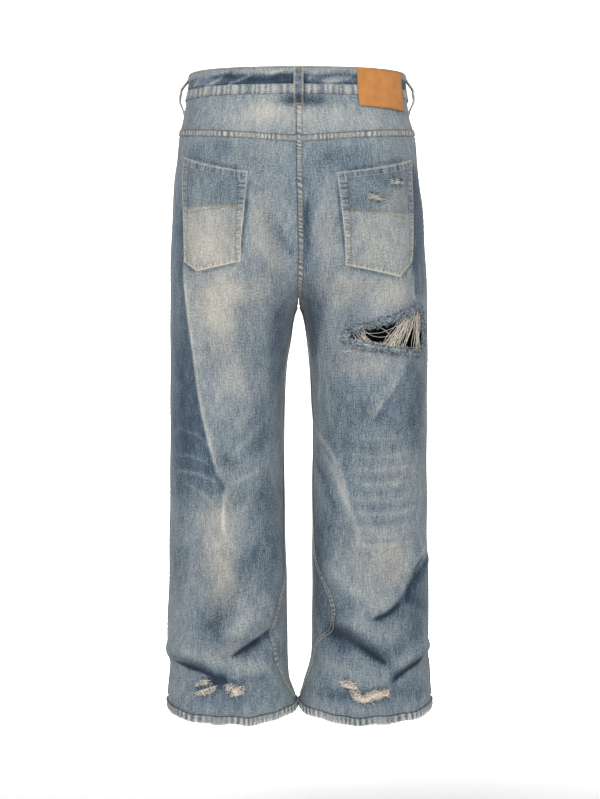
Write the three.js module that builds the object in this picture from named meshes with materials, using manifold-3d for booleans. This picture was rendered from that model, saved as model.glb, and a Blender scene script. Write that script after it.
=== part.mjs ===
// A pair of ripped, baggy five-pocket jeans, filled out as they hang on a wearer who isn't there.
// Millimetres, +Z up. The back of the jeans faces +Y and the wearer's left is +X.
// The origin is the middle of the waist, half-way up the waistband, where the wearer holds the jeans up.
//
// The cloth is one form: level rings whose sizes come from the tables below. A place on the cloth is
// (side, along, z): "along" is the distance walked round the ring from its outermost point, positive over
// the back and negative over the front. Every piece is cut from that form, so neighbours meet evenly.
import * as THREE from "three";
import Module from "manifold-3d";
import { mergeVertices } from "three/addons/utils/BufferGeometryUtils.js";

const wasm = await Module();
wasm.setup();

// ---------------------------------------------------------------- driving sizes
const CLOTH = 2; // thickness of a denim panel
const GAP = 0.3; // gap at every seam
const UNDER = 0.45; // gap below or above a piece that lies on another
const OVERLAY = 1.6; // thickness of a pocket or the fly

const BAND_TOP = 22; // waistband, at the back
const BAND_BOTTOM = -23;
const BAND_PROUD = 0.7; // how far the waistband stands out from the panels below it
const BAND_WALL = 3.4; // two layers of denim with their turned edges
const FRONT_DIP = 24; // the waist is this much lower in front than behind

const YOKE_SIDE_Z = -73;
const YOKE_CENTRE_Z = -98;
const CROTCH_Z = -355;
const HEM_Z = -1011; // hem at the sides of each leg
const HEM_SAG = 23; // how much lower it hangs at the back and front
const HEM_HEIGHT = 13;
const HEM_WALL = 3;
const SIDE_SEAM = 8; // how far the side seam lies in front of the outermost line

const LOOP_WIDTH = 15;
const LOOP_WALL = 1.8;
const LOOP_TOP = 17;
const LOOP_BOTTOM = -47;
const BUTTON_RADIUS = 8.5;

// ---------------------------------------------------------------- the form, as [z, value] rows
const BACK_DEPTH = [
  [22, 99], [-25, 104], [-90, 114], [-160, 121], [-240, 121], [-310, 114], [-355, 107], [-430, 98],
  [-520, 91], [-620, 86], [-720, 84], [-800, 86], [-880, 86], [-960, 80], [-1034, 79],
];
const FRONT_DEPTH = [
  [22, 91], [-90, 104], [-200, 108], [-300, 102], [-355, 96], [-450, 90], [-600, 84], [-750, 78],
  [-880, 75], [-960, 76], [-1034, 80],
];
const BACK_SQUARENESS = [[22, 2.4], [-90, 2.6], [-260, 2.6], [-355, 2.45], [-520, 2.3], [-1034, 2.25]];
const FRONT_SQUARENESS = [[22, 2.2], [-220, 2.3], [-1034, 2.2]];
// How far each ring reaches past the middle of the body, as a share of its outer half-width. It is whole at
// the hips and nothing at the crotch, where the legs part.
const HIP_SHARE = [[-140, 1], [-195, 0.85], [-255, 0.55], [-305, 0.25], [-335, 0.08], [-349, 0.02], [CROTCH_Z, 0]];

// Distances of each leg's outer and inner line from the middle of the body, and how far behind the innermost
// line its inside leg seam runs.
const LEFT = {
  sign: 1,
  outer: [
    [22, 179], [-45, 188], [-78, 195], [-117, 198.5], [-157, 203], [-255, 208], [-315, 209.7],
    [-600, 210], [-808, 211.5], [-907, 214.7], [-926, 214], [-946, 209.7], [-985, 213], [-1010, 214.7],
  ],
  inner: [
    [CROTCH_Z, GAP / 2], [-374, 7.4], [-413, 14], [-452, 20.6], [-512, 24], [-551, 25.5], [-630, 25.5],
    [-749, 22], [-808, 19], [-900, 18], [-966, 15], [-985, 9], [-995, 5.5], [-1010, 2.2],
  ],
  insideSeam: [[CROTCH_Z, 0], [-600, 0], [-790, 24], [-877, 62], [-928, 56], [-975, 30], [-1034, 4]],
};
const RIGHT = {
  sign: -1,
  outer: [
    [22, 174], [-45, 182], [-78, 190], [-117, 193.5], [-157, 198], [-196, 203], [-255, 206.5],
    [-315, 209.7], [-413, 211.4], [-600, 209.7], [-729, 209.7], [-847, 213], [-926, 211.5],
    [-946, 214.5], [-985, 216.5], [-1010, 218],
  ],
  inner: [
    [CROTCH_Z, GAP / 2], [-374, 8.5], [-413, 15.5], [-452, 19], [-512, 22.5], [-551, 25], [-630, 24],
    [-749, 22], [-887, 22], [-926, 20.6], [-946, 17], [-966, 10.7], [-985, 5.8], [-995, 2.6], [-1010, 2.2],
  ],
  insideSeam: [
    [CROTCH_Z, 0], [-600, 2], [-752, 28], [-832, 74], [-852, 82], [-872, 76], [-917, 34], [-961, 22], [-1034, 4],
  ],
};

// The largest folds: soft ridges (lift over 0) and troughs along a path of [across, z] points, on the back
// (face 1) or the front (face -1). "Across" is the distance from the middle of the body.
const FOLDS = [
  { side: LEFT, face: 1, path: [[180, -310], [168, -417], [150, -518], [116, -650]], lift: 4, reach: 24 },
  { side: LEFT, face: 1, path: [[48, -855], [85, -880], [128, -902]], lift: 8, reach: 19 },
  { side: LEFT, face: 1, path: [[46, -891], [80, -912], [116, -934]], lift: -6, reach: 15 },
  { side: LEFT, face: 1, path: [[208, -918], [168, -922], [130, -950]], lift: 8, reach: 17 },
  { side: LEFT, face: 1, path: [[204, -950], [160, -956], [134, -980]], lift: -6, reach: 14 },
  { side: LEFT, face: -1, path: [[50, -800], [110, -828], [180, -812]], lift: 6, reach: 20 },
  { side: LEFT, face: -1, path: [[40, -880], [100, -906], [180, -890]], lift: 8, reach: 19 },
  { side: LEFT, face: -1, path: [[50, -938], [110, -952], [180, -936]], lift: -6, reach: 16 },
  { side: RIGHT, face: 1, path: [[176, -450], [130, -526], [108, -580]], lift: 4, reach: 24 },
  { side: RIGHT, face: 1, path: [[204, -770], [170, -830], [115, -852]], lift: 7, reach: 20 },
  { side: RIGHT, face: 1, path: [[156, -872], [112, -892]], lift: -4, reach: 14 },
  { side: RIGHT, face: 1, path: [[60, -852], [104, -888], [150, -914]], lift: 6, reach: 18 },
  { side: RIGHT, face: 1, path: [[55, -892], [100, -918], [146, -946]], lift: -8, reach: 17 },
  { side: RIGHT, face: 1, path: [[206, -912], [176, -932], [140, -956]], lift: 8, reach: 15 },
  { side: RIGHT, face: 1, path: [[208, -940], [176, -962], [144, -984]], lift: -6, reach: 13 },
  { side: RIGHT, face: -1, path: [[180, -796], [110, -826], [50, -806]], lift: 6, reach: 20 },
  { side: RIGHT, face: -1, path: [[180, -884], [110, -908], [40, -886]], lift: 8, reach: 19 },
  { side: RIGHT, face: -1, path: [[180, -936], [110, -950], [50, -934]], lift: -6, reach: 16 },
];

// The large rip across the back of the right thigh, as [across, upper z, lower z] from its inner tip outwards.
const RIP = [
  [77, -409, -414], [90, -399, -420], [112, -394, -423], [136, -388, -427], [158, -381, -431],
  [176, -375, -433], [188, -368, -433], [200, -386, -424],
];

// Back pockets, as [across, z] corners: the top edge, then round the point at the bottom.
const POCKETS = {
  left: {
    side: LEFT,
    topInner: [80, -149],
    topOuter: [185, -118],
    bottomInner: [92, -291],
    point: [160, -306],
    bottomOuter: [181, -289],
  },
  right: {
    side: RIGHT,
    topInner: [61, -150],
    topOuter: [182, -123],
    bottomInner: [75, -297],
    point: [162, -315],
    bottomOuter: [182, -289],
  },
};

const PATCH = { innerAcross: 94, outerAcross: 166, top: 19, bottom: -45 };
const SCOOP = { width: 0.43, drop: 90, under: 12 }; // front pocket mouth: share of the panel's width, depth
const FLY = { width: 38, bottom: -212, proud: 1.2 };

// ---------------------------------------------------------------- curves and rings
const clamp = (value, low, high) => Math.min(high, Math.max(low, value));
const mix = (a, b, share) => a + (b - a) * share;
const ease = (share) => {
  const t = clamp(share, 0, 1);
  return t * t * (3 - 2 * t);
};

const spread = (count, from = 0, to = 1) => Array.from({ length: count + 1 }, (_, i) => mix(from, to, i / count));

// A smooth curve through [z, value] rows, z falling, that never swings past a row's value.
function follow(table, z) {
  const last = table.length - 1;
  if (z >= table[0][0]) return table[0][1];
  if (z <= table[last][0]) return table[last][1];
  let i = 0;
  while (z < table[i + 1][0]) i += 1;
  const slope = (k) => (table[k + 1][1] - table[k][1]) / (table[k + 1][0] - table[k][0]);
  const tangent = (k) => {
    if (k === 0) return slope(0);
    if (k === last) return slope(last - 1);
    const product = slope(k - 1) * slope(k);
    return product <= 0 ? 0 : (2 * product) / (slope(k - 1) + slope(k));
  };
  const span = table[i + 1][0] - table[i][0];
  const t = (z - table[i][0]) / span;
  const fromStart = (2 * t ** 3 - 3 * t ** 2 + 1) * table[i][1] + (t ** 3 - 2 * t ** 2 + t) * span * tangent(i);
  const fromEnd = (3 * t ** 2 - 2 * t ** 3) * table[i + 1][1] + (t ** 3 - t ** 2) * span * tangent(i + 1);
  return fromStart + fromEnd;
}

// One half of a ring, from its outermost point over the back (face 1) or front (face -1) to the middle of
// the body, or below the crotch to the leg's innermost point. Points are in the side's own mirrored frame.
const RING_STEPS = 120;
function halfRing(side, face, z) {
  const outer = follow(side.outer, z);
  const inner = z <= CROTCH_Z ? follow(side.inner, z) : -follow(HIP_SHARE, z) * outer;
  const middle = (outer + inner) / 2;
  const width = (outer - inner) / 2;
  const depth = follow(face > 0 ? BACK_DEPTH : FRONT_DEPTH, z);
  const power = follow(face > 0 ? BACK_SQUARENESS : FRONT_SQUARENESS, z);
  const points = [{ x: outer, y: 0, at: 0 }];
  for (let i = 1; i <= RING_STEPS && points.at(-1).x > GAP / 2; i += 1) {
    const turn = (Math.PI * i) / RING_STEPS;
    const [c, s] = [Math.cos(turn), Math.sin(turn)];
    const radius = ((Math.abs(c) / width) ** power + (Math.abs(s) / depth) ** power) ** (-1 / power);
    const before = points.at(-1);
    let [x, y] = [middle + radius * c, face * radius * s];
    if (x < GAP / 2) {
      y = mix(before.y, y, (before.x - GAP / 2) / (before.x - x));
      x = GAP / 2;
    }
    points.push({ x, y, at: before.at + Math.hypot(x - before.x, y - before.y) });
  }
  return { points, length: points.at(-1).at };
}

const ringStore = new Map();
function ringAt(side, z) {
  const key = `${side.sign} ${z.toFixed(4)}`;
  if (!ringStore.has(key)) ringStore.set(key, { back: halfRing(side, 1, z), front: halfRing(side, -1, z) });
  return ringStore.get(key);
}

function walk(points, target) {
  let [low, high] = [0, points.length - 1];
  while (high - low > 1) {
    const probe = (low + high) >> 1;
    if (points[probe].at <= target) low = probe;
    else high = probe;
  }
  const [p, q] = [points[low], points[high]];
  const share = (target - p.at) / (q.at - p.at);
  return [mix(p.x, q.x, share), mix(p.y, q.y, share)];
}

// Below the crotch a walk past the innermost point goes on round the leg, on the other half.
function wrapped(side, along, z) {
  const { back, front } = ringAt(side, z);
  if (z > CROTCH_Z) return along;
  if (along > back.length) return along - back.length - front.length;
  if (along < -front.length) return along + back.length + front.length;
  return along;
}

function formPoint(side, along, z) {
  const place = wrapped(side, along, z);
  const half = ringAt(side, z)[place < 0 ? "front" : "back"];
  const [x, y] = walk(half.points, Math.min(Math.abs(place), half.length));
  return new THREE.Vector3(x, y, z);
}

// How far along the ring the cloth is this far across from the middle of the body.
function alongAt(side, face, across, z) {
  const { points, length } = ringAt(side, z)[face > 0 ? "back" : "front"];
  const i = points.findIndex((p) => p.x <= across);
  if (i < 0) return face * length;
  if (i === 0) return 0;
  const [p, q] = [points[i - 1], points[i]];
  return face * mix(p.at, q.at, (p.x - across) / (p.x - q.x));
}

for (const fold of FOLDS) {
  fold.route = fold.path.map(([across, z]) => [alongAt(fold.side, fold.face, across, z), z]);
}

function distanceToRoute(route, along, z) {
  let nearest = Infinity;
  for (let i = 0; i < route.length - 1; i += 1) {
    const [[a0, z0], [a1, z1]] = [route[i], route[i + 1]];
    const [da, dz] = [a1 - a0, z1 - z0];
    const share = clamp(((along - a0) * da + (z - z0) * dz) / (da * da + dz * dz), 0, 1);
    nearest = Math.min(nearest, Math.hypot(along - a0 - share * da, z - z0 - share * dz));
  }
  return nearest;
}

function foldHeight(side, along, z) {
  let height = 0;
  for (const fold of FOLDS) {
    if (fold.side !== side) continue;
    height += fold.lift * Math.exp(-((distanceToRoute(fold.route, along, z) / fold.reach) ** 2));
  }
  return height;
}

// A point of the folded cloth, moved out by "lift", in the model's own frame.
const NORMAL_STEP = 3;
function clothPoint(side, along, z, lift) {
  const roundWay = formPoint(side, along - NORMAL_STEP, z).sub(formPoint(side, along + NORMAL_STEP, z));
  const upWay = formPoint(side, along, z + NORMAL_STEP).sub(formPoint(side, along, z - NORMAL_STEP));
  const out = upWay.cross(roundWay).normalize();
  const point = formPoint(side, along, z).addScaledVector(out, foldHeight(side, along, z) + lift);
  point.x *= side.sign;
  return point;
}

// ---------------------------------------------------------------- sheets
// A closed wall between two lifts. "place(v, u)" gives the (side, along, z) of each row v and column u, and
// the lifts may change with both.
function sheet(rows, columns, place, low, high) {
  const liftAt = (lift, v, u) => (typeof lift === "function" ? lift(v, u) : lift);
  const positions = [];
  for (const lift of [high, low]) {
    for (const v of rows) {
      for (const u of columns) {
        const { side, along, z } = place(v, u);
        positions.push(...clothPoint(side, along, z, liftAt(lift, v, u)).toArray());
      }
    }
  }
  const [tall, wide] = [rows.length, columns.length];
  const at = (layer, i, j) => layer * tall * wide + i * wide + j;
  const index = [];
  const quad = (a, b, c, d) => index.push(a, b, c, a, c, d);
  for (let i = 0; i < tall - 1; i += 1) {
    for (let j = 0; j < wide - 1; j += 1) {
      quad(at(0, i, j), at(0, i + 1, j), at(0, i + 1, j + 1), at(0, i, j + 1));
      quad(at(1, i, j), at(1, i, j + 1), at(1, i + 1, j + 1), at(1, i + 1, j));
    }
    quad(at(0, i, 0), at(1, i, 0), at(1, i + 1, 0), at(0, i + 1, 0));
    quad(at(0, i, wide - 1), at(0, i + 1, wide - 1), at(1, i + 1, wide - 1), at(1, i, wide - 1));
  }
  for (let j = 0; j < wide - 1; j += 1) {
    quad(at(0, 0, j), at(0, 0, j + 1), at(1, 0, j + 1), at(1, 0, j));
    quad(at(0, tall - 1, j), at(1, tall - 1, j), at(1, tall - 1, j + 1), at(0, tall - 1, j + 1));
  }
  const geometry = new THREE.BufferGeometry();
  geometry.setAttribute("position", new THREE.Float32BufferAttribute(positions, 3));
  geometry.setIndex(index);
  return turnedOut(geometry);
}

// The geometry with its faces pointing out, whichever way its grid was walked.
function turnedOut(geometry) {
  const at = geometry.getAttribute("position");
  const index = geometry.getIndex().array;
  const corner = (k) => new THREE.Vector3().fromBufferAttribute(at, index[k]);
  let volume = 0;
  for (let k = 0; k < index.length; k += 3) volume += corner(k).dot(corner(k + 1).cross(corner(k + 2)));
  if (volume < 0) {
    for (let k = 0; k < index.length; k += 3) [index[k], index[k + 1]] = [index[k + 1], index[k]];
  }
  return geometry;
}

function solidOf(geometry) {
  const merged = mergeVertices(geometry, 1e-4);
  return new wasm.Manifold(new wasm.Mesh({
    numProp: 3,
    vertProperties: merged.getAttribute("position").array,
    triVerts: new Uint32Array(merged.getIndex().array),
  }));
}

function cutAway(geometry, cutter) {
  const { vertProperties, triVerts } = solidOf(geometry).subtract(solidOf(cutter)).getMesh();
  const cut = new THREE.BufferGeometry();
  cut.setAttribute("position", new THREE.BufferAttribute(vertProperties, 3));
  cut.setIndex(new THREE.BufferAttribute(triVerts, 1));
  return cut;
}

// ---------------------------------------------------------------- edges that pieces share
// A front panel's columns, as shares of the way from the side seam to the centre front. They crowd towards
// the upper end of the pocket mouth, where it turns down from the waistband.
const FRONT_COLUMNS = [0, 0.12, 0.23, 0.32, 0.385, 0.42, SCOOP.width, 0.5, 0.62, 0.75, 0.88, 1];
const BACK_COLUMNS = spread(10);

const frontDip = (share) => FRONT_DIP * ease(share);

function hemZ(side, along) {
  const place = wrapped(side, along, HEM_Z);
  const half = ringAt(side, HEM_Z)[place < 0 ? "front" : "back"];
  return HEM_Z - HEM_SAG * Math.sin((Math.PI * Math.abs(place)) / half.length);
}

// How far along a ring a column lies, from a panel's side seam (share 0) to its centre or inside leg seam
// (share 1). Panels widen quickly at the crotch, and only the columns nearest it follow that.
const WIDENING = { above: -230, below: -520, settled: 0.6 };
function columnAt(side, half, start, end, share, z) {
  const { above, below, settled } = WIDENING;
  let even = end;
  if (z < above && z > below) {
    const [before, after] = [ringAt(side, above)[half].length, ringAt(side, below)[half].length];
    even = mix(before, after, ease((above - z) / (above - below)));
  }
  if (share <= settled) return mix(start, even, share);
  return mix(mix(start, even, settled), end, (share - settled) / (1 - settled));
}

function backColumn(side, share, z) {
  const { length } = ringAt(side, z).back;
  const end = z > CROTCH_Z ? length : length - follow(side.insideSeam, z) - GAP / 2;
  return columnAt(side, "back", GAP / 2 - SIDE_SEAM, end, share, z);
}

function frontColumn(side, share, z) {
  const { length } = ringAt(side, z).front;
  const end = z > CROTCH_Z ? length : length + follow(side.insideSeam, z) - GAP / 2;
  return -columnAt(side, "front", SIDE_SEAM + GAP / 2, end, share, z);
}

const yokeSeam = (share) => mix(YOKE_SIDE_Z, YOKE_CENTRE_Z, share ** 0.8);

// ---------------------------------------------------------------- the pieces
const LEG_LEVELS = [
  -93, -135, -180, -225, -265, -298, -324, -341, -350, CROTCH_Z, -363, -380, -405, -440, -490, -545, -600,
  -655, -705, -750, -785, -812, -836, -857, -876, -894, -912, -930, -947, -964, -981, -997,
];
const TOP_BLEND = 200; // a panel's rows turn from its shaped top edge to level over this height

// Rows of a leg panel: level, except where the top edge and the hem pull them off it.
function legRow(side, share, level, topEdge, column) {
  if (level === LEG_LEVELS[0]) return topEdge(share);
  const nearTop = ease(1 - (LEG_LEVELS[0] - level) / TOP_BLEND);
  const z = level + (topEdge(share) - LEG_LEVELS[0]) * nearTop;
  const sag = hemZ(side, column(side, share, HEM_Z)) - HEM_Z;
  return z + sag * ease((-level - 850) / 170);
}

function legPanel(side, topEdge, column, columns) {
  const hemRows = ["hem top", "hem start", "hem edge"];
  const edgeZ = (share) => hemZ(side, column(side, share, HEM_Z));
  const place = (level, share) => {
    let z = edgeZ(share);
    if (level === "hem top") z += HEM_HEIGHT + 1;
    else if (level === "hem start") z += HEM_HEIGHT;
    else if (level !== "hem edge") z = legRow(side, share, level, topEdge, column);
    return { side, along: column(side, share, z), z };
  };
  const inside = (level) => (level === "hem start" || level === "hem edge" ? -HEM_WALL : -CLOTH);
  const levels = LEG_LEVELS.filter((level) => level > HEM_Z + HEM_HEIGHT + 2);
  return sheet([...levels, ...hemRows], columns, place, inside, 0);
}

const backLeg = (side) => legPanel(side, (share) => yokeSeam(share) - GAP, backColumn, BACK_COLUMNS);

function ripCutter() {
  const reach = 6;
  const place = (edge, i) => {
    const [across, upper, lower] = RIP[i];
    const z = edge === 0 ? upper : lower;
    return { side: RIGHT, along: alongAt(RIGHT, 1, across, z), z };
  };
  return sheet([0, 1], [...RIP.keys()], place, -reach, reach);
}

// The front panel's top edge: the waist, and the scooped pocket mouth at its outer corner.
const waistSeam = (share) => BAND_BOTTOM - UNDER - frontDip(share);
const pocketMouth = (share) => waistSeam(share) - SCOOP.drop * Math.sqrt(Math.max(0, 1 - (share / SCOOP.width) ** 2));
const frontLeg = (side) => legPanel(side, pocketMouth, frontColumn, FRONT_COLUMNS);

// The pocket facing lies under the front panel and shows in the pocket mouth.
function frontPocketFacing(side) {
  const bottomZ = BAND_BOTTOM - SCOOP.drop - SCOOP.under;
  const place = (v, share) => {
    const z = mix(waistSeam(share), bottomZ, v);
    return { side, along: frontColumn(side, share, z), z };
  };
  const columns = FRONT_COLUMNS.filter((share) => share <= 0.5);
  const outer = -CLOTH - 3 * UNDER;
  return sheet(spread(4), columns, place, outer - OVERLAY, outer);
}

function yoke(side) {
  const place = (v, u) => {
    const z = mix(BAND_BOTTOM - UNDER, yokeSeam(u), v);
    return { side, along: backColumn(side, u, z), z };
  };
  return sheet(spread(3), BACK_COLUMNS, place, -CLOTH, 0);
}

// One long strip whose left end laps over its right end at the centre front. Its columns are those of the
// panels that hang from it, walked from the end that lies under, over the right side, back and left side.
function waistband() {
  const front = (side, shares) => shares.map((share) => ({ side, column: frontColumn, share, dip: frontDip(share) }));
  const back = (side, shares) => shares.map((share) => ({ side, column: backColumn, share, dip: 0 }));
  const stations = [
    ...front(LEFT, [0.93]),
    ...front(RIGHT, FRONT_COLUMNS.toReversed()),
    ...back(RIGHT, BACK_COLUMNS.slice(1, -1)),
    ...back(LEFT, BACK_COLUMNS.slice(1).toReversed()),
    ...front(LEFT, FRONT_COLUMNS),
    ...front(RIGHT, [0.945]),
  ];
  const raised = (i) => (BAND_WALL + UNDER) * ease(i - stations.length + 4.5);
  const place = (level, i) => {
    const { side, column, share, dip } = stations[i];
    return { side, along: column(side, share, level - dip), z: level - dip };
  };
  const low = (level, i) => BAND_PROUD - BAND_WALL + raised(i);
  const high = (level, i) => BAND_PROUD + raised(i);
  return sheet(spread(2, BAND_TOP, BAND_BOTTOM), [...stations.keys()], place, low, high);
}

function backPocket({ side, topInner, topOuter, bottomInner, point, bottomOuter }) {
  const onCloth = ([across, z]) => [alongAt(side, 1, across, z), z];
  const [ti, to, bi, p, bo] = [topInner, topOuter, bottomInner, point, bottomOuter].map(onCloth);
  const pointShare = (bi[0] - p[0]) / (bi[0] - bo[0]);
  const bottomAt = (u, axis) => (u < pointShare
    ? mix(bi[axis], p[axis], u / pointShare)
    : mix(p[axis], bo[axis], (u - pointShare) / (1 - pointShare)));
  const place = (v, u) => {
    const along = mix(mix(ti[0], to[0], u), bottomAt(u, 0), v);
    return { side, along, z: mix(mix(ti[1], to[1], u), bottomAt(u, 1), v) };
  };
  const columns = [...spread(7, 0, pointShare), ...spread(2, pointShare, 1).slice(1)];
  return sheet(spread(8), columns, place, 2 * UNDER, 2 * UNDER + OVERLAY);
}

function patch() {
  const { innerAcross, outerAcross, top, bottom } = PATCH;
  const place = (v, u) => {
    const z = mix(top, bottom, v);
    const inner = alongAt(RIGHT, 1, innerAcross, z);
    return { side: RIGHT, along: mix(inner, alongAt(RIGHT, 1, outerAcross, z), u), z };
  };
  const under = BAND_PROUD + UNDER;
  return sheet(spread(4), spread(8), place, under, under + OVERLAY);
}

// A loop is sewn down at both ends and stands away from the waistband between them.
function beltLoop(bow, dip, placeAcross) {
  const under = BAND_PROUD + 2 * UNDER;
  const lift = (v) => under + bow * ease(v / 0.4) * ease((1 - v) / 0.4);
  const place = (v, u) => {
    const z = mix(LOOP_TOP, LOOP_BOTTOM, v) - dip;
    return { ...placeAcross(LOOP_WIDTH * u, z), z };
  };
  const rows = [0, 0.1, 0.2, 0.3, 0.4, 0.6, 0.7, 0.8, 0.9, 1];
  return sheet(rows, [-0.5, 0, 0.5], place, lift, (v) => lift(v) + LOOP_WALL);
}

const sideLoop = (side) => beltLoop(11, 0, (across) => ({ side, along: across - SIDE_SEAM / 2 }));

function frontLoop(side) {
  const share = 0.66;
  const middle = frontColumn(side, share, 0);
  return beltLoop(9, frontDip(share), (across) => ({ side, along: middle + across }));
}

// The centre back loop lies over the seat seam, so it is made from both sides' points.
function centreBackLoop() {
  return beltLoop(8, 0, (across, z) => {
    const side = across < 0 ? RIGHT : LEFT;
    return { side, along: ringAt(side, z).back.length - Math.abs(across) };
  });
}

// The fly's flap: the left front's turned edge, which covers the zip.
function fly() {
  const place = (v, u) => {
    const top = BAND_BOTTOM - FRONT_DIP - GAP - UNDER;
    const z = mix(top, FLY.bottom, v);
    const round = Math.sqrt(Math.max(0, 1 - clamp((v - 0.72) / 0.28, 0, 1) ** 2));
    const width = Math.max(5, FLY.width * round);
    return { side: LEFT, along: -(ringAt(LEFT, z).front.length - width * u), z };
  };
  const rows = [0, 0.18, 0.36, 0.54, 0.72, 0.8, 0.87, 0.93, 0.97, 1];
  return sheet(rows, spread(3), place, UNDER, UNDER + FLY.proud);
}

// A domed shank button, facing the front.
function waistButton() {
  const rim = 2.2;
  const profile = [[0, 0], [BUTTON_RADIUS - 0.6, 0], [BUTTON_RADIUS, 0.7], [BUTTON_RADIUS, 1.6],
    [BUTTON_RADIUS - 0.8, rim], [BUTTON_RADIUS - 2.2, rim], [BUTTON_RADIUS - 3, 1.6], [3, 2], [0, 2.1]];
  return new THREE.LatheGeometry(profile.map(([r, h]) => new THREE.Vector2(r, h)), 28);
}

// ---------------------------------------------------------------- materials and assembly
const denim = (color) => new THREE.MeshStandardMaterial({ color, roughness: 0.92, metalness: 0 });
const leather = () => new THREE.MeshStandardMaterial({ color: 0xc98245, roughness: 0.6, metalness: 0 });
const brass = () => new THREE.MeshStandardMaterial({ color: 0x8a7350, roughness: 0.4, metalness: 1 });

const group = new THREE.Group();
function add(name, geometry, material) {
  const mesh = new THREE.Mesh(geometry, material);
  mesh.name = name;
  group.add(mesh);
  return mesh;
}

add("waistband", waistband(), denim(0x6f8391));
for (const [name, side] of [["left", LEFT], ["right", RIGHT]]) {
  const legBack = backLeg(side);
  add(`yoke_${name}`, yoke(side), denim(0x7f919c));
  add(`back_leg_${name}`, side === RIGHT ? cutAway(legBack, ripCutter()) : legBack, denim(0x8496a0));
  add(`front_leg_${name}`, frontLeg(side), denim(0x8496a0));
  add(`front_pocket_facing_${name}`, frontPocketFacing(side), denim(0x6f8391));
  add(`back_pocket_${name}`, backPocket(POCKETS[name]), denim(0x8fa0a8));
  add(`belt_loop_side_${name}`, sideLoop(side), denim(0x6f8391));
  add(`belt_loop_front_${name}`, frontLoop(side), denim(0x6f8391));
}
add("belt_loop_back", centreBackLoop(), denim(0x6f8391));
add("fly", fly(), denim(0x7f919c));
add("patch", patch(), leather());

const button = add("waist_button", waistButton(), brass());
const buttonShank = 1.8; // its stub holds it this far off the cloth
const buttonLift = BAND_PROUD + BAND_WALL + UNDER + buttonShank;
const buttonSeat = clothPoint(LEFT, -ringAt(LEFT, -FRONT_DIP).front.length, -FRONT_DIP, buttonLift);
button.rotation.x = Math.PI;
button.position.set(0, buttonSeat.y, -FRONT_DIP);

export default group;
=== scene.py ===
"""Ripped, baggy washed jeans, filled out as they hang with no wearer, seen from behind.

The cloth is one form, the same as the frame's: level rings whose sizes come from the tables below. A place
on it is (side, along, z). "side" is LEFT or RIGHT leg, and "along" is the distance walked round the ring from
its outermost point, positive over the back and negative over the front. Every piece lies on that form.
"""
import math

import bpy
import numpy as np
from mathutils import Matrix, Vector


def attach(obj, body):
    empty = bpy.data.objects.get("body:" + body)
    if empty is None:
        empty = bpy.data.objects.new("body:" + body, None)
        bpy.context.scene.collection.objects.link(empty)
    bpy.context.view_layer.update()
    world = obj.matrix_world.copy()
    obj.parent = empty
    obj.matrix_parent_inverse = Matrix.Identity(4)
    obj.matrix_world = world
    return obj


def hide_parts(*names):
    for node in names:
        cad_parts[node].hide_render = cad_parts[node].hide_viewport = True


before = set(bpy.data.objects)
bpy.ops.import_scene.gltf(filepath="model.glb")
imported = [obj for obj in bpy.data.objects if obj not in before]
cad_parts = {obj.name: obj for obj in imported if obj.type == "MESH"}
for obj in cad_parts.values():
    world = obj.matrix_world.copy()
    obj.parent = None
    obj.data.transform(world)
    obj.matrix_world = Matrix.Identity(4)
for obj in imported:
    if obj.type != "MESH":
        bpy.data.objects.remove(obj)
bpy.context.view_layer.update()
bpy.ops.object.select_all(action="DESELECT")

# ---------------------------------------------------------------- driving sizes, in metres
MM = 0.001
SEAM_GAP = 0.3 * MM
BAND_TOP = 22 * MM
BAND_BOTTOM = -23 * MM
FRONT_DIP = 24 * MM
YOKE_SIDE_Z = -73 * MM
YOKE_CENTRE_Z = -98 * MM
CROTCH_Z = -355 * MM
HEM_Z = -1011 * MM
HEM_SAG = 23 * MM
HEM_HEIGHT = 13 * MM
SIDE_SEAM = 8 * MM
CLOTH = 1.5 * MM
BAND_PROUD = 0.9 * MM
FINE = 2.85 * MM  # grid of the back panels
PLAIN = 5 * MM  # grid of the front panels
LEFT, RIGHT = 0, 1
SIGN = np.array([1.0, -1.0])
BACK, FRONT = 0, 1
SIDES = ((LEFT, "left"), (RIGHT, "right"))
DICE = np.random.default_rng(7)

# ---------------------------------------------------------------- the form: (z, value) rows in millimetres
DEPTH = {
    BACK: [(22, 99), (-25, 104), (-90, 114), (-160, 121), (-240, 121), (-310, 114), (-355, 107), (-430, 98),
           (-520, 91), (-620, 86), (-720, 84), (-800, 86), (-880, 86), (-960, 80), (-1034, 79)],
    FRONT: [(22, 91), (-90, 104), (-200, 108), (-300, 102), (-355, 96), (-450, 90), (-600, 84), (-750, 78),
            (-880, 75), (-960, 76), (-1034, 80)],
}
SQUARENESS = {
    BACK: [(22, 2.4), (-90, 2.6), (-260, 2.6), (-355, 2.45), (-520, 2.3), (-1034, 2.25)],
    FRONT: [(22, 2.2), (-220, 2.3), (-1034, 2.2)],
}
HIP_SHARE = [(-140, 1), (-195, 0.85), (-255, 0.55), (-305, 0.25), (-335, 0.08), (-349, 0.02), (-355, 0)]
OUTER = {
    LEFT: [(22, 179), (-45, 188), (-78, 195), (-117, 198.5), (-157, 203), (-255, 208), (-315, 209.7),
           (-600, 210), (-808, 211.5), (-907, 214.7), (-926, 214), (-946, 209.7), (-985, 213),
           (-1010, 214.7)],
    RIGHT: [(22, 174), (-45, 182), (-78, 190), (-117, 193.5), (-157, 198), (-196, 203), (-255, 206.5),
            (-315, 209.7), (-413, 211.4), (-600, 209.7), (-729, 209.7), (-847, 213), (-926, 211.5),
            (-946, 214.5), (-985, 216.5), (-1010, 218)],
}
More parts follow.
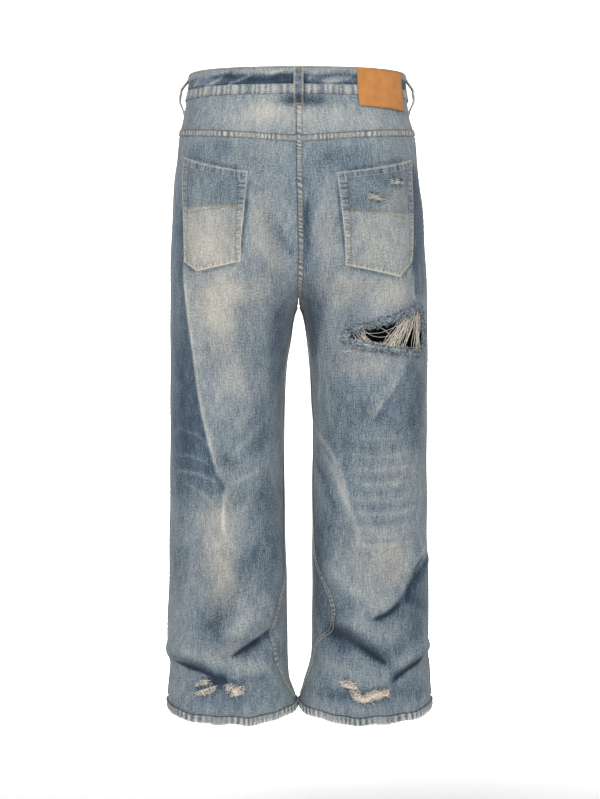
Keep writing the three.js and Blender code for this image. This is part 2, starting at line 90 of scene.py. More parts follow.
INNER = {
    LEFT: [(-355, 0.15), (-374, 7.4), (-413, 14), (-452, 20.6), (-512, 24), (-551, 25.5), (-630, 25.5),
           (-749, 22), (-808, 19), (-900, 18), (-966, 15), (-985, 9), (-995, 5.5), (-1010, 2.2)],
    RIGHT: [(-355, 0.15), (-374, 8.5), (-413, 15.5), (-452, 19), (-512, 22.5), (-551, 25), (-630, 24),
            (-749, 22), (-887, 22), (-926, 20.6), (-946, 17), (-966, 10.7), (-985, 5.8), (-995, 2.6),
            (-1010, 2.2)],
}
INSIDE_SEAM = {
    LEFT: [(-355, 0), (-600, 0), (-790, 24), (-877, 62), (-928, 56), (-975, 30), (-1034, 4)],
    RIGHT: [(-355, 0), (-600, 2), (-752, 28), (-832, 74), (-852, 82), (-872, 76), (-917, 34), (-961, 22),
            (-1034, 4)],
}


# ---------------------------------------------------------------- curves
def mix(a, b, share):
    return a + (b - a) * share


def ease(share):
    t = np.clip(share, 0, 1)
    return t * t * (3 - 2 * t)


def follow(table, z):
    """A smooth curve through (z, value) rows in millimetres, at z in metres, never past a row's value."""
    rows = np.array(table[::-1], float) * MM
    heights, values = rows[:, 0], rows[:, 1]
    slopes = np.diff(values) / np.diff(heights)
    tangents = np.concatenate([slopes[:1], np.zeros(len(heights) - 2), slopes[-1:]])
    product = slopes[:-1] * slopes[1:]
    turning = product <= 0
    total = np.where(turning, 1, slopes[:-1] + slopes[1:])
    tangents[1:-1] = np.where(turning, 0, 2 * product / total)
    z = np.clip(z, heights[0], heights[-1])
    i = np.clip(np.searchsorted(heights, z, side="right") - 1, 0, len(heights) - 2)
    span = heights[i + 1] - heights[i]
    t = (z - heights[i]) / span
    start = (2 * t**3 - 3 * t**2 + 1) * values[i] + (t**3 - 2 * t**2 + t) * span * tangents[i]
    end = (3 * t**2 - 2 * t**3) * values[i + 1] + (t**3 - t**2) * span * tangents[i + 1]
    return start + end


def smooth_route(points, count=24):
    """A Catmull-Rom curve through a few points, evenly sampled."""
    p = np.array(points, float)
    if len(p) == 2:
        return p[0] + (p[1] - p[0]) * np.linspace(0, 1, count)[:, None]
    p = np.vstack([2 * p[0] - p[1], p, 2 * p[-1] - p[-2]])
    where = np.linspace(0, len(p) - 3.0001, count)
    i = where.astype(int)
    t = (where - i)[:, None]
    a, b, c, d = p[i], p[i + 1], p[i + 2], p[i + 3]
    return 0.5 * (2 * b + (c - a) * t + (2 * a - 5 * b + 4 * c - d) * t**2 + (3 * b - a - 3 * c + d) * t**3)


# ---------------------------------------------------------------- rings
RING_STEP = 2 * MM
RING_Z = np.arange(32 * MM, -1050 * MM, -RING_STEP)
RING_SAMPLES = 161


def half_rings(side, face):
    """Every ring's half, as evenly spaced x and y from its outermost point, and its length."""
    outer = follow(OUTER[side], RING_Z)
    inner = np.where(RING_Z <= CROTCH_Z, follow(INNER[side], RING_Z), -follow(HIP_SHARE, RING_Z) / MM * outer)
    middle, width = (outer + inner) / 2, (outer - inner) / 2
    depth = follow(DEPTH[face], RING_Z)
    power = (follow(SQUARENESS[face], RING_Z) / MM)[:, None]
    turn = np.linspace(0, math.pi, 241)[None, :]
    c, s = np.cos(turn), np.sin(turn)
    radius = ((np.abs(c) / width[:, None]) ** power + (np.abs(s) / depth[:, None]) ** power) ** (-1 / power)
    xs = middle[:, None] + radius * c
    ys = radius * s * (1 if face == BACK else -1)
    shape = np.zeros((len(RING_Z), RING_SAMPLES, 2))
    length = np.zeros(len(RING_Z))
    for k, (x, y) in enumerate(zip(xs, ys)):
        past = np.nonzero(x < SEAM_GAP / 2)[0]
        if len(past):
            i = past[0]
            cut = (x[i - 1] - SEAM_GAP / 2) / (x[i - 1] - x[i])
            y = np.append(y[:i], mix(y[i - 1], y[i], cut))
            x = np.append(x[:i], SEAM_GAP / 2)
        at = np.append(0, np.cumsum(np.hypot(np.diff(x), np.diff(y))))
        length[k] = at[-1]
        even = np.linspace(0, at[-1], RING_SAMPLES)
        shape[k, :, 0] = np.interp(even, at, x)
        shape[k, :, 1] = np.interp(even, at, y)
    return shape, length


RINGS = {(side, face): half_rings(side, face) for side in (LEFT, RIGHT) for face in (BACK, FRONT)}
SHAPES = np.array([[RINGS[side, face][0] for face in (BACK, FRONT)] for side in (LEFT, RIGHT)])
LENGTHS = np.array([[RINGS[side, face][1] for face in (BACK, FRONT)] for side in (LEFT, RIGHT)])


def half_length(side, face, z):
    k = np.clip((RING_Z[0] - z) / RING_STEP, 0, len(RING_Z) - 1.001)
    i = k.astype(int) if isinstance(k, np.ndarray) else int(k)
    return mix(LENGTHS[side, face, i], LENGTHS[side, face, i + 1], k - i)


def wrapped(side, along, z):
    """Below the crotch a walk past the innermost point goes on round the leg, on its other half."""
    back, front = half_length(side, BACK, z), half_length(side, FRONT, z)
    below = z <= CROTCH_Z
    along = np.where(below & (along > back), along - back - front, along)
    return np.where(below & (along < -front), along + back + front, along)


def over_centre(side, along, z):
    """Above the crotch a walk past the centre goes on over the other side."""
    side, along, z = np.broadcast_arrays(side, along, z)
    face = np.where(along < 0, FRONT, BACK)
    past = np.abs(along) - half_length(side, face, z)
    crosses = (z > CROTCH_Z) & (past > 0)
    other = np.where(crosses, 1 - side, side)
    moved = (half_length(other, face, z) - past) * np.where(face == BACK, 1, -1)
    return other, np.where(crosses, moved, along)


def form_point(side, along, z):
    side, along, z = np.broadcast_arrays(side, along, z)
    along = wrapped(side, along, z)
    face = np.where(along < 0, FRONT, BACK)
    k = np.clip((RING_Z[0] - z) / RING_STEP, 0, len(RING_Z) - 1.001)
    i = k.astype(int)
    share = np.clip(np.abs(along) / half_length(side, face, z), 0, 1) * (RING_SAMPLES - 1.001)
    j = share.astype(int)
    down, over = (k - i)[..., None], (share - j)[..., None]
    upper = mix(SHAPES[side, face, i, j], SHAPES[side, face, i, j + 1], over)
    lower = mix(SHAPES[side, face, i + 1, j], SHAPES[side, face, i + 1, j + 1], over)
    xy = mix(upper, lower, down)
    return np.concatenate([xy, z[..., None]], axis=-1)


def along_at(side, face, across, z):
    """How far along the ring the cloth is this far across from the middle of the body."""
    k = int(np.clip(round((RING_Z[0] - z) / RING_STEP), 0, len(RING_Z) - 1))
    xs = SHAPES[side, face, k, :, 0]
    at = np.linspace(0, LENGTHS[side, face, k], RING_SAMPLES)
    top = int(np.argmax(xs))
    along = np.interp(-across, -xs[top:], at[top:])
    return along if face == BACK else -along


# ---------------------------------------------------------------- folds and creases
# Each runs along a path of (across, z) points, in millimetres, on the back or front of a leg. "lift" is over
# 0 for a ridge and under 0 for a trough. It fades over "left" and "right" of the path, seen with "across"
# pointing right. "rub_and_shade" over 0 is how much the wash has bleached its line; under 0 it is painted
# shade along the line.
FOLDS = [
    # side, face, path, lift, left, right, rub_and_shade
    (LEFT, BACK, [(180, -310), (168, -417), (150, -518), (116, -650)], 4, 24, 24, 0),
    (LEFT, BACK, [(48, -855), (85, -880), (128, -902)], 8, 19, 19, 0),
    (LEFT, BACK, [(46, -891), (80, -912), (116, -934)], -6, 15, 15, 0),
    (LEFT, BACK, [(208, -918), (168, -922), (130, -950)], 8, 17, 17, 0),
    (LEFT, BACK, [(204, -950), (160, -956), (134, -980)], -6, 14, 14, 0),
    (LEFT, FRONT, [(50, -800), (110, -828), (180, -812)], 6, 20, 20, 0),
    (LEFT, FRONT, [(40, -880), (100, -906), (180, -890)], 8, 19, 19, 0),
    (LEFT, FRONT, [(50, -938), (110, -952), (180, -936)], -6, 16, 16, 0),
    (RIGHT, BACK, [(176, -450), (130, -526), (108, -580)], 4, 24, 24, 0),
    (RIGHT, BACK, [(204, -770), (170, -830), (115, -852)], 7, 20, 20, 0),
    (RIGHT, BACK, [(156, -872), (112, -892)], -4, 14, 14, 0),
    (RIGHT, BACK, [(60, -852), (104, -888), (150, -914)], 6, 18, 18, 0),
    (RIGHT, BACK, [(55, -892), (100, -918), (146, -946)], -8, 17, 17, 0),
    (RIGHT, BACK, [(206, -912), (176, -932), (140, -956)], 8, 15, 15, 0),
    (RIGHT, BACK, [(208, -940), (176, -962), (144, -984)], -6, 13, 13, 0),
    (RIGHT, FRONT, [(180, -796), (110, -826), (50, -806)], 6, 20, 20, 0),
    (RIGHT, FRONT, [(180, -884), (110, -908), (40, -886)], 8, 19, 19, 0),
    (RIGHT, FRONT, [(180, -936), (110, -950), (50, -934)], -6, 16, 16, 0),
]
CREASES = [
    # Creases across the waistband.
    (LEFT, BACK, [(153, -10), (132, 1), (117, 10)], 0.5, 3, 3, 0.26),
    (LEFT, BACK, [(117, -8), (98, -1), (67, 11)], 0.5, 3, 3, 0.3),
    (LEFT, BACK, [(57, 7), (37, 12), (20, 17)], 0.4, 3, 3, 0.22),
    (LEFT, BACK, [(170, -6), (160, 8)], 0.4, 3, 3, 0.24),
    (LEFT, BACK, [(140, 6), (100, 12)], -0.5, 4, 4, -0.22),
    (LEFT, BACK, [(92, 2), (56, 0), (24, 4)], -0.5, 4, 4, -0.26),
    (RIGHT, BACK, [(13, 0), (31, 12)], 0.4, 3, 3, 0.2),
    (RIGHT, BACK, [(35, -7), (65, 0), (90, 5)], 0.4, 4, 4, 0.18),
    (RIGHT, BACK, [(26, 2), (60, 10), (88, 14)], -0.4, 3.5, 3.5, -0.2),
    # The sharp line from the outer seat to the back of the left knee, and the fan of lines beside it.
    (LEFT, BACK, [(183, -285), (179, -319), (175, -359), (168, -417), (155, -518), (134, -613), (119, -652)],
     1.6, 2.4, 2.4, 0.36),
    (LEFT, BACK, [(183, -285), (175, -359), (155, -518), (134, -613), (119, -652)], 2.2, 4, 14, 0.05),
    (LEFT, BACK, [(118, -648), (121, -690), (119, -735)], 0.8, 3, 3, 0.3),
    (LEFT, BACK, [(201, -553), (161, -569), (134, -596)], 0.8, 3, 3, 0.1),
    (LEFT, BACK, [(201, -600), (165, -604), (136, -622)], 0.8, 3, 3, 0.12),
    (LEFT, BACK, [(201, -625), (161, -631), (122, -648)], 0.8, 3, 3, 0.14),
    (LEFT, BACK, [(191, -640), (161, -658), (129, -685)], 0.8, 4, 4, 0.1),
    (LEFT, BACK, [(54, -542), (84, -578), (113, -604)], 0.8, 4, 4, 0.1),
    (LEFT, BACK, [(48, -575), (82, -600), (112, -622)], -0.7, 5, 5, -0.08),
    (LEFT, BACK, [(57, -622), (84, -636), (111, -648)], 0.8, 4, 4, 0.12),
    (LEFT, BACK, [(71, -658), (94, -698)], 0.7, 5, 5, 0.1),
    # Soft drag lines over the seat and down the left thigh, with painted shade in their troughs.
    (LEFT, BACK, [(62, -196), (40, -236), (18, -270), (4, -284)], -1.2, 9, 9, -0.14),
    (LEFT, BACK, [(80, -232), (56, -272), (26, -312)], 1.0, 9, 9, 0.07),
    (LEFT, BACK, [(150, -330), (120, -420), (96, -520)], 1.4, 16, 20, 0.05),
    (LEFT, BACK, [(96, -380), (74, -470), (62, -560)], -1.4, 14, 14, -0.08),
    (RIGHT, BACK, [(14, -190), (13, -240), (14, -300)], -1.0, 6, 7, -0.2),
    (RIGHT, BACK, [(60, -300), (40, -350), (30, -400)], -1.0, 9, 9, -0.1),
    # The breaks above the left hem, with painted shade in their troughs.
    (LEFT, BACK, [(66, -730), (92, -790), (120, -850), (156, -905)], -2.6, 15, 17, -0.16),
    (LEFT, BACK, [(46, -800), (72, -846), (104, -880), (124, -900)], 2.4, 14, 16, 0.1),
    (LEFT, BACK, [(35, -879), (71, -902), (111, -929)], -4.6, 3.2, 12, -0.34),
    (LEFT, BACK, [(52, -894), (92, -920)], -2.0, 3, 5, -0.2),
    (LEFT, BACK, [(36, -944), (76, -938), (112, -948)], 2.4, 9, 10, 0.08),
    (LEFT, BACK, [(40, -962), (80, -960), (106, -972)], -1.6, 6, 8, -0.16),
    (LEFT, BACK, [(205, -930), (176, -944), (151, -950), (129, -961), (114, -976)], -4.4, 4, 12, -0.32),
    (LEFT, BACK, [(204, -905), (170, -918), (142, -930), (118, -930)], 2.6, 10, 11, 0.08),
    (LEFT, BACK, [(128, -952), (112, -968), (100, -960)], -2.0, 4, 4, -0.3),
    # The line that leaves the rip, and the long ones down the inner side of the right leg.
    (RIGHT, BACK, [(178, -444), (153, -489), (130, -524), (117, -548)], 1.6, 2.4, 9, 0.18),
    (RIGHT, BACK, [(186, -300), (185, -330), (187, -356)], 1.0, 3, 3, 0.26),
    (RIGHT, BACK, [(30, -420), (34, -470), (33, -520)], 0.8, 3, 3, 0.14),
    (RIGHT, BACK, [(46, -470), (47, -520), (56, -560)], 0.7, 3, 3, 0.08),
    (RIGHT, BACK, [(25, -542), (46, -586), (68, -631), (86, -698)], 1.4, 4, 8, 0.16),
    (RIGHT, BACK, [(30, -568), (54, -622), (74, -668), (94, -716), (100, -760)], 1.0, 3.5, 6, 0.14),
    (RIGHT, BACK, [(24, -590), (42, -640), (60, -700)], -1.2, 8, 8, -0.14),
    # The honeycomb behind the right knee.
    *[(RIGHT, BACK, [(start, z), (108, z - 5), (150, z - 4), (end, z + 6)], 0.6, 3, 3, rub_and_shade)
      for z, start, end, rub_and_shade in (
          (-569, 96, 186, 0.05), (-584, 84, 170, -0.05), (-597, 76, 197, 0.07), (-619, 88, 200, 0.08),
          (-631, 80, 176, -0.06), (-642, 96, 204, 0.09), (-655, 84, 198, -0.07), (-668, 80, 190, 0.06),
          (-679, 104, 204, -0.07), (-690, 84, 200, 0.1), (-704, 92, 186, -0.06), (-716, 84, 178, 0.05),
          (-733, 100, 190, -0.08), (-742, 108, 196, 0.06))],
    # The big folds below the right calf, with painted shade in their troughs.
    (RIGHT, BACK, [(32, -752), (68, -800), (118, -832), (160, -846)], 3.4, 13, 16, 0.09),
    (RIGHT, BACK, [(204, -752), (184, -790), (167, -828), (139, -855), (113, -866)], -4.2, 11, 3.6, -0.3),
    (RIGHT, BACK, [(206, -742), (188, -778), (172, -816)], 1.6, 3, 3, 0.16),
    (RIGHT, BACK, [(32, -886), (68, -892), (113, -919), (151, -941)], -4.6, 13, 8, -0.28),
    (RIGHT, BACK, [(84, -900), (118, -923), (148, -940)], -2.4, 5, 4, -0.16),
    (RIGHT, BACK, [(56, -850), (96, -872), (136, -890), (176, -880)], 3.0, 14, 13, 0.1),
    (RIGHT, BACK, [(206, -926), (186, -940), (170, -950), (146, -971)], -4.8, 4, 8, -0.4),
    (RIGHT, BACK, [(208, -900), (180, -920), (150, -948)], 2.6, 10, 10, 0.08),
    (RIGHT, BACK, [(40, -932), (70, -946), (104, -962)], 1.6, 9, 9, 0.07),
    # The deep cores of the folds over both hems: painted shade.
    (RIGHT, BACK, [(164, -836), (150, -850), (137, -858), (112, -867)], -1.4, 2.6, 2.6, -0.5),
    (RIGHT, BACK, [(206, -926), (186, -940), (168, -952), (150, -968)], -1.4, 2.6, 2.6, -0.5),
    (RIGHT, BACK, [(96, -907), (120, -924), (148, -941)], -1.0, 3, 3, -0.26),
    (LEFT, BACK, [(62, -897), (84, -912), (113, -930)], -1.4, 2.6, 2.6, -0.5),
    (LEFT, BACK, [(206, -933), (184, -943), (151, -951), (128, -962)], -1.4, 2.6, 2.6, -0.5),
    (LEFT, BACK, [(150, -957), (142, -966), (146, -974)], -1.2, 2.6, 2.6, -0.4),
    (LEFT, BACK, [(126, -956), (118, -966), (124, -976)], 1.6, 3, 3, 0.14),
    (LEFT, BACK, [(138, -960), (132, -972)], -1.4, 3, 3, -0.4),
    # Whiskers below the front pockets and creases over the front of the knees.
    *[(side, FRONT, [(60, z), (120, z - 14), (178, z + 10)], 0.9, 6, 6, 0.07)
      for side in (LEFT, RIGHT) for z in (-215, -245, -278, -312)],
    *[(side, FRONT, [(52, z), (116, z + 9), (180, z - 6)], 0.9, 6, 6, 0.05)
      for side in (LEFT, RIGHT) for z in (-590, -622, -658, -700)],
]


# Back pocket corners as (across, z) in millimetres: the top edge, then the bottom with its point.
POCKETS = {
    LEFT: ((80, -149), (185, -118), (92, -291), (160, -306), (181, -289)),
    RIGHT: ((61, -150), (182, -123), (75, -297), (162, -315), (182, -289)),
}


def pocket_shade(side, corners):
    """Painted shadow: dark lines just outside a pocket's edge, where the pocket shades the panel."""
    top_inner, top_outer, bottom_inner, point, bottom_outer = np.array(corners, float)
    top_middle = (top_inner + top_outer) / 2
    return [
        (side, BACK, [top_inner + (-2.5, -4), bottom_inner + (-2.5, -1)], -0.3, 2.6, 2.6, -0.26),
        (side, BACK, [bottom_inner + (-1, -3), point + (0, -3.5)], -0.3, 2.4, 2.4, -0.2),
        (side, BACK, [point + (1, -3), bottom_outer + (2, -2)], -0.3, 2.4, 2.4, -0.2),
        (side, BACK, [top_inner + (2, 2.5), top_middle + (0, -1), top_outer + (-2, 2.5)], -0.3, 3, 3, -0.16),
    ]


SHADES = [line for side, corners in POCKETS.items() for line in pocket_shade(side, corners)]


def routed(fold):
    side, face, path, lift, left, right, rub_and_shade = fold
    cloth_path = [(-along_at(side, face, x * MM, z * MM), z * MM) for x, z in path]
    return side, smooth_route(cloth_path), lift * MM, left * MM, right * MM, rub_and_shade


ROUTED = [routed(fold) for fold in FOLDS + CREASES + SHADES]


def beside_route(route, across, z):
    """Distance to a route, over 0 on its left, and how far along it the nearest point lies, from 0 to 1."""
    best = np.full(across.shape, 1.0)
    turn = np.zeros(across.shape)
    progress = np.zeros(across.shape)
    steps = len(route) - 1
    for i in range(steps):
        (x0, z0), (dx, dz) = route[i], route[i + 1] - route[i]
        share = np.clip(((across - x0) * dx + (z - z0) * dz) / (dx * dx + dz * dz), 0, 1)
        ox, oz = across - x0 - share * dx, z - z0 - share * dz
        far = np.hypot(ox, oz)
        nearer = far < best
        best = np.where(nearer, far, best)
        turn = np.where(nearer, dx * oz - dz * ox, turn)
        progress = np.where(nearer, (i + share) / steps, progress)
    return np.where(turn >= 0, best, -best), progress


def relief(side, along, z):
    """How far folds and creases move the cloth out, and the wash rubbed and shade painted along them."""
    side, along, z = np.broadcast_arrays(side, along, z)
    along = wrapped(side, along, z)
    height, rubbed_and_shaded = np.zeros(z.shape), np.zeros(z.shape)
    for on_side, route, lift, left, right, rub_and_shade in ROUTED:
        reach = 3 * max(left, right)
        low, high = route.min(axis=0) - reach, route.max(axis=0) + reach
        near = (side == on_side) & (-along > low[0]) & (-along < high[0]) & (z > low[1]) & (z < high[1])
        if not near.any():
            continue
        far, progress = beside_route(route, -along[near], z[near])
        width = np.where(far >= 0, left, right)
        ends = 1.0 if rub_and_shade == 0 else ease(progress / 0.22) * ease((1 - progress) / 0.22)
        height[near] += lift * np.exp(-((far / width) ** 2)) * ends
        rubbed_and_shaded[near] += rub_and_shade * np.exp(-((far / width) ** 2)) * ends
    x, y = np.moveaxis(form_point(side, along, z)[..., :2], -1, 0)
    x = x * SIGN[side]
    loose = np.sin(x * 41 + z * 23 + y * 12) * np.sin(z * 31 - x * 17 + y * 9 + 0.6)
    return height + 0.7 * MM * loose, rubbed_and_shaded


NORMAL_STEP = 2 * MM


def surface(side, along, z, lift=0.0):
    """Points of the cloth moved out by "lift", and the smooth form's normals there."""
    side, along, z = np.broadcast_arrays(side, np.asarray(along, float), np.asarray(z, float))
    face = np.where(along < 0, FRONT, BACK)
    limit = np.where(z > CROTCH_Z, half_length(side, face, z) - NORMAL_STEP, np.inf)
    middle = np.clip(along, -limit, limit)
    round_way = form_point(side, middle - NORMAL_STEP, z) - form_point(side, middle + NORMAL_STEP, z)
    up_way = form_point(side, along, z + NORMAL_STEP) - form_point(side, along, z - NORMAL_STEP)
    normal = np.cross(up_way, round_way)
    normal /= np.linalg.norm(normal, axis=-1, keepdims=True)
    height, _ = relief(side, along, z)
    point = form_point(side, along, z) + normal * (height + lift)[..., None]
    for vector in (point, normal):
        vector[..., 0] *= SIGN[side]
    return point, normal


# ---------------------------------------------------------------- wash, wear and painted shade
# Soft ovals of (x, z, half width, half height) in millimetres on the back, how much lighter (or, under 0,
# darker) they are, and how much cream-beige tint the wash gave them. The lighter ones are wash; the darker
# ones are partly darker wash and partly painted shade, in fold troughs, down the inner sides of the legs and
# beside seams and the centre back belt loop.
WASH_AND_SHADE = [
    (46, -48, 40, 22, 0.16, 0.3), (-42, -51, 35, 19, 0.06, 0.12), (164, -57, 26, 22, -0.06, 0),
    (15, -34, 16, 7, -0.4, 0), (-22, -34, 22, 8, -0.42, 0), (129, -112, 42, 14, -0.12, 0),
    (58, -112, 32, 19, 0.05, 0.12), (-74, -125, 42, 19, -0.14, 0), (-14, -225, 8, 70, -0.12, 0),
    (58, -237, 20, 40, 0.08, 0.4), (38, -291, 16, 32, 0.0, 0.2), (-47, -253, 17, 42, 0.06, 0.34),
    (135, -361, 32, 54, 0.18, 0.55), (81, -339, 29, 22, 0.08, 0.3), (87, -371, 14, 19, -0.1, 0),
    (-74, -333, 38, 22, 0.1, 0.4), (-150, -339, 28, 22, 0.16, 0.45), (36, -432, 14, 90, -0.2, 0),
    (190, -467, 16, 60, -0.16, 0), (188, -584, 16, 60, -0.2, 0), (97, -488, 35, 38, 0.06, 0.1),
    (119, -609, 16, 13, -0.16, 0), (106, -667, 14, 14, -0.12, 0), (58, -566, 19, 26, -0.14, 0),
    (57, -669, 22, 30, -0.16, 0), (127, -735, 22, 67, 0.12, 0.5), (119, -809, 24, 40, 0.04, 0.3),
    (194, -768, 14, 70, -0.1, 0), (50, -757, 20, 60, -0.16, 0), (135, -873, 19, 32, -0.12, 0),
    (108, -912, 26, 14, 0.06, 0.2), (52, -920, 26, 14, -0.1, 0), (113, -990, 60, 16, -0.14, 0),
    (-19, -390, 13, 60, -0.34, 0), (-111, -457, 42, 16, 0.06, 0.24), (-105, -529, 19, 14, -0.14, 0),
    (-191, -505, 16, 70, -0.16, 0.05), (-194, -216, 10, 80, -0.12, 0), (-159, -624, 35, 42, 0.04, 0.14),
    (-143, -765, 30, 32, 0.1, 0.45), (-90, -755, 16, 30, 0.0, 0.24), (-140, -806, 30, 20, 0.02, 0.16),
    (-40, -736, 14, 50, -0.16, 0), (-31, -810, 9, 60, -0.24, 0), (-70, -901, 26, 14, -0.1, 0),
    (-188, -860, 18, 34, -0.22, 0), (-60, -985, 40, 14, -0.12, 0), (-178, -982, 30, 16, -0.14, 0),
    (100, -440, 26, 60, 0.0, 0.12), (-80, -420, 20, 40, -0.04, 0.1),
    (132, -968, 14, 9, -0.3, 0), (154, -977, 12, 7, -0.2, 0), (-110, -988, 40, 9, -0.2, 0),
    (90, -66, 90, 20, 0.06, 0.06), (-90, -66, 100, 22, 0.13, 0.02), (-62, -868, 26, 40, -0.2, 0),
    (-150, -905, 46, 34, -0.12, 0), (-60, -545, 50, 80, -0.08, 0), (-120, -600, 60, 60, -0.05, 0),
]
POCKET_WASH = [
    (146, -176, 38, 26, 0.02, 0), (145, -256, 42, 45, 0.1, 0.46), (-102, -179, 32, 22, 0.05, 0),
    (-156, -192, 16, 22, 0.1, 0.36), (-134, -259, 42, 45, 0.06, 0.22), (-158, -162, 12, 5, -0.2, 0),
    (-124, -189, 14, 6, -0.16, 0),
]
# The front is washed more plainly: pale thighs and shins; it is darker at the flanks and round the crotch.
FRONT_WASH = [
    *[(sign * 118, -300, 42, 130, 0.2, 0.36) for sign in (1, -1)],
    *[(sign * 118, -590, 40, 90, 0.13, 0.26) for sign in (1, -1)],
    *[(sign * 112, -820, 34, 110, 0.12, 0.26) for sign in (1, -1)],
    *[(sign * 30, -330, 22, 60, -0.16, 0) for sign in (1, -1)],
    (0, -90, 60, 50, -0.12, 0),
]
# Lines past which the cloth is darker: partly darker wash, partly painted shade where the leg turns away
# from the light. Side, path, darkening and reach.
SHADED_FLANKS = [
    (LEFT, [(184, -118), (184, -285), (179, -319), (175, -359), (168, -417), (155, -518), (134, -613),
            (119, -652), (124, -700)], -0.26, 60),
    (RIGHT, [(183, -120), (184, -285), (186, -352)], -0.26, 60),
    (RIGHT, [(178, -442), (152, -480), (131, -526), (118, -550)], -0.12, 60),
    (RIGHT, [(208, -752), (180, -806), (168, -842)], -0.3, 44),
]
SHADED_FLANK_ROUTES = [(side, smooth_route([(-along_at(side, BACK, x * MM, z * MM), z * MM) for x, z in path]), dark,
                 reach * MM) for side, path, dark, reach in SHADED_FLANKS]


def tone_from_ovals(ovals, point):
    tone, cream = np.zeros(point.shape[:-1]), np.zeros(point.shape[:-1])
    for x, z, half_width, half_height, lighter, tint in ovals:
        far = ((point[..., 0] / MM - x) / half_width) ** 2 + ((point[..., 2] / MM - z) / half_height) ** 2
        soft = np.exp(-0.7 * far)
        tone += lighter * soft
        cream += tint * soft
    return tone, cream


def wash_and_shade_at(side, along, z, point, pocket=False):
    """The tone (0 dark indigo to 1 bleached) and cream tint of the cloth at its points, painted shade
    included.
    """
    side, along, z = np.broadcast_arrays(side, along, z)
    to_back = ease((point[..., 1] + 30 * MM) / (60 * MM))
    back_tone, back_cream = tone_from_ovals(WASH_AND_SHADE + (POCKET_WASH if pocket else []), point)
    front_tone, front_cream = tone_from_ovals(FRONT_WASH, point)
    tone = 0.5 + mix(front_tone, back_tone, to_back)
    cream = 0.1 + mix(front_cream, back_cream, to_back)
    # Painted shade and darker wash past each flank line.
    for on_side, route, dark, reach in SHADED_FLANK_ROUTES:
        near = (side == on_side) & (along > -60 * MM) & (z < route[0, 1] + reach) & (z > route[-1, 1] - reach)
        far, progress = beside_route(route, -along[near], z[near])
        outward = -along[near] > np.interp(z[near], route[::-1, 1], route[::-1, 0])
        falling = np.where(outward, np.exp(-np.abs(far) / reach), np.exp(-np.abs(far) / MM))
        ends = ease(progress / 0.08) * ease((1 - progress) / 0.12)
        tone[near] += dark * falling * ends
        cream[near] *= 1 - 0.8 * falling * ends
    # Wash rubbed along the fold and crease lines, and painted shade in their troughs.
    _, rubbed_and_shaded = relief(side, along, z)
    tone += rubbed_and_shaded
    cream += np.clip(rubbed_and_shaded, 0, 1) * 0.7
    return tone, np.clip(cream, 0, 1)


# ---------------------------------------------------------------- building meshes
def new_object(name, verts, faces, slots):
    mesh = bpy.data.meshes.new(name)
    mesh.from_pydata(verts.tolist(), [], faces.tolist())
    piece = bpy.data.objects.new(name, mesh)
    bpy.context.scene.collection.objects.link(piece)
    for material in slots:
        mesh.materials.append(material)
    return piece


def settle(piece, slot_name, *nodes):
    """Hand a finished piece to the frame."""
    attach(piece, "root")
    if nodes:
        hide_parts(*nodes)
    return piece


def select_only(piece):
    bpy.ops.object.select_all(action="DESELECT")
    piece.select_set(True)
    bpy.context.view_layer.objects.active = piece


def grid_walk(point):
    """How far a grid's points are along its rows and down its columns."""
    across = np.linalg.norm(np.diff(point, axis=1, prepend=point[:, :1]), axis=-1).cumsum(axis=1)
    down = np.linalg.norm(np.diff(point, axis=0, prepend=point[:1]), axis=-1).cumsum(axis=0)
    return np.stack([across, -down], axis=-1)


def cloth_object(name, side, along, z, lift, thickness, slots, tone=0.0, cream=0.0, kept=None, pocket=False,
                 takes_wash_and_shade=True, whole_leg=False):
    """A closed thin shell on a grid of places. "kept" says which grid cells the sheet has."""
    side, along, z, lift = np.broadcast_arrays(side, along, z, lift)
    side, along = over_centre(side, along, z)
    point, normal = surface(side, along, z, lift)
    own_tone, own_cream = wash_and_shade_at(side, along, z, point, pocket) if takes_wash_and_shade else (0.0, 0.0)
    own_tone = np.broadcast_to(own_tone + tone, z.shape)
    own_cream = np.broadcast_to(np.clip(own_cream + cream, 0, 1), z.shape)
    rows, columns = z.shape
    index = np.arange(rows * columns).reshape(rows, columns)
    quads = np.stack([index[:-1, :-1], index[1:, :-1], index[1:, 1:], index[:-1, 1:]], axis=-1)
    quads = quads[kept] if kept is not None else quads.reshape(-1, 4)
    flat = point.reshape(-1, 3)
    middle = quads[len(quads) // 2]
    facing = np.cross(flat[middle[1]] - flat[middle[0]], flat[middle[2]] - flat[middle[0]])
    if facing @ normal.reshape(-1, 3)[middle[0]] < 0:
        quads = quads[:, ::-1]
    used = np.unique(quads)
    renumber = np.zeros(rows * columns, int)
    renumber[used] = np.arange(len(used))
    piece = new_object(name, flat[used], renumber[quads], slots)
    mesh = piece.data
    uv = mesh.uv_layers.new(name="cloth")
    corner = np.zeros(len(mesh.loops), int)
    mesh.loops.foreach_get("vertex_index", corner)
    places = np.stack([along * SIGN[side], z], axis=-1) if whole_leg else grid_walk(point)
    uv.data.foreach_set("uv", places.reshape(-1, 2)[used][corner].ravel())
    for attribute, values in (("tone", own_tone), ("cream", own_cream)):
        layer = mesh.attributes.new(attribute, "FLOAT", "POINT")
        layer.data.foreach_set("value", values.ravel()[used].astype(np.float32))
    mesh.polygons.foreach_set("use_smooth", np.ones(len(mesh.polygons), bool))
    wall = piece.modifiers.new("wall", "SOLIDIFY")
    wall.thickness = thickness
    wall.offset = -1
    wall.material_offset = len(slots) - 1
    select_only(piece)
    bpy.ops.object.modifier_apply(modifier="wall")
    bpy.ops.object.shade_smooth_by_angle(angle=math.radians(50))
    return piece


THIN_END = 0.35  # share of a tube's radius that its ends have


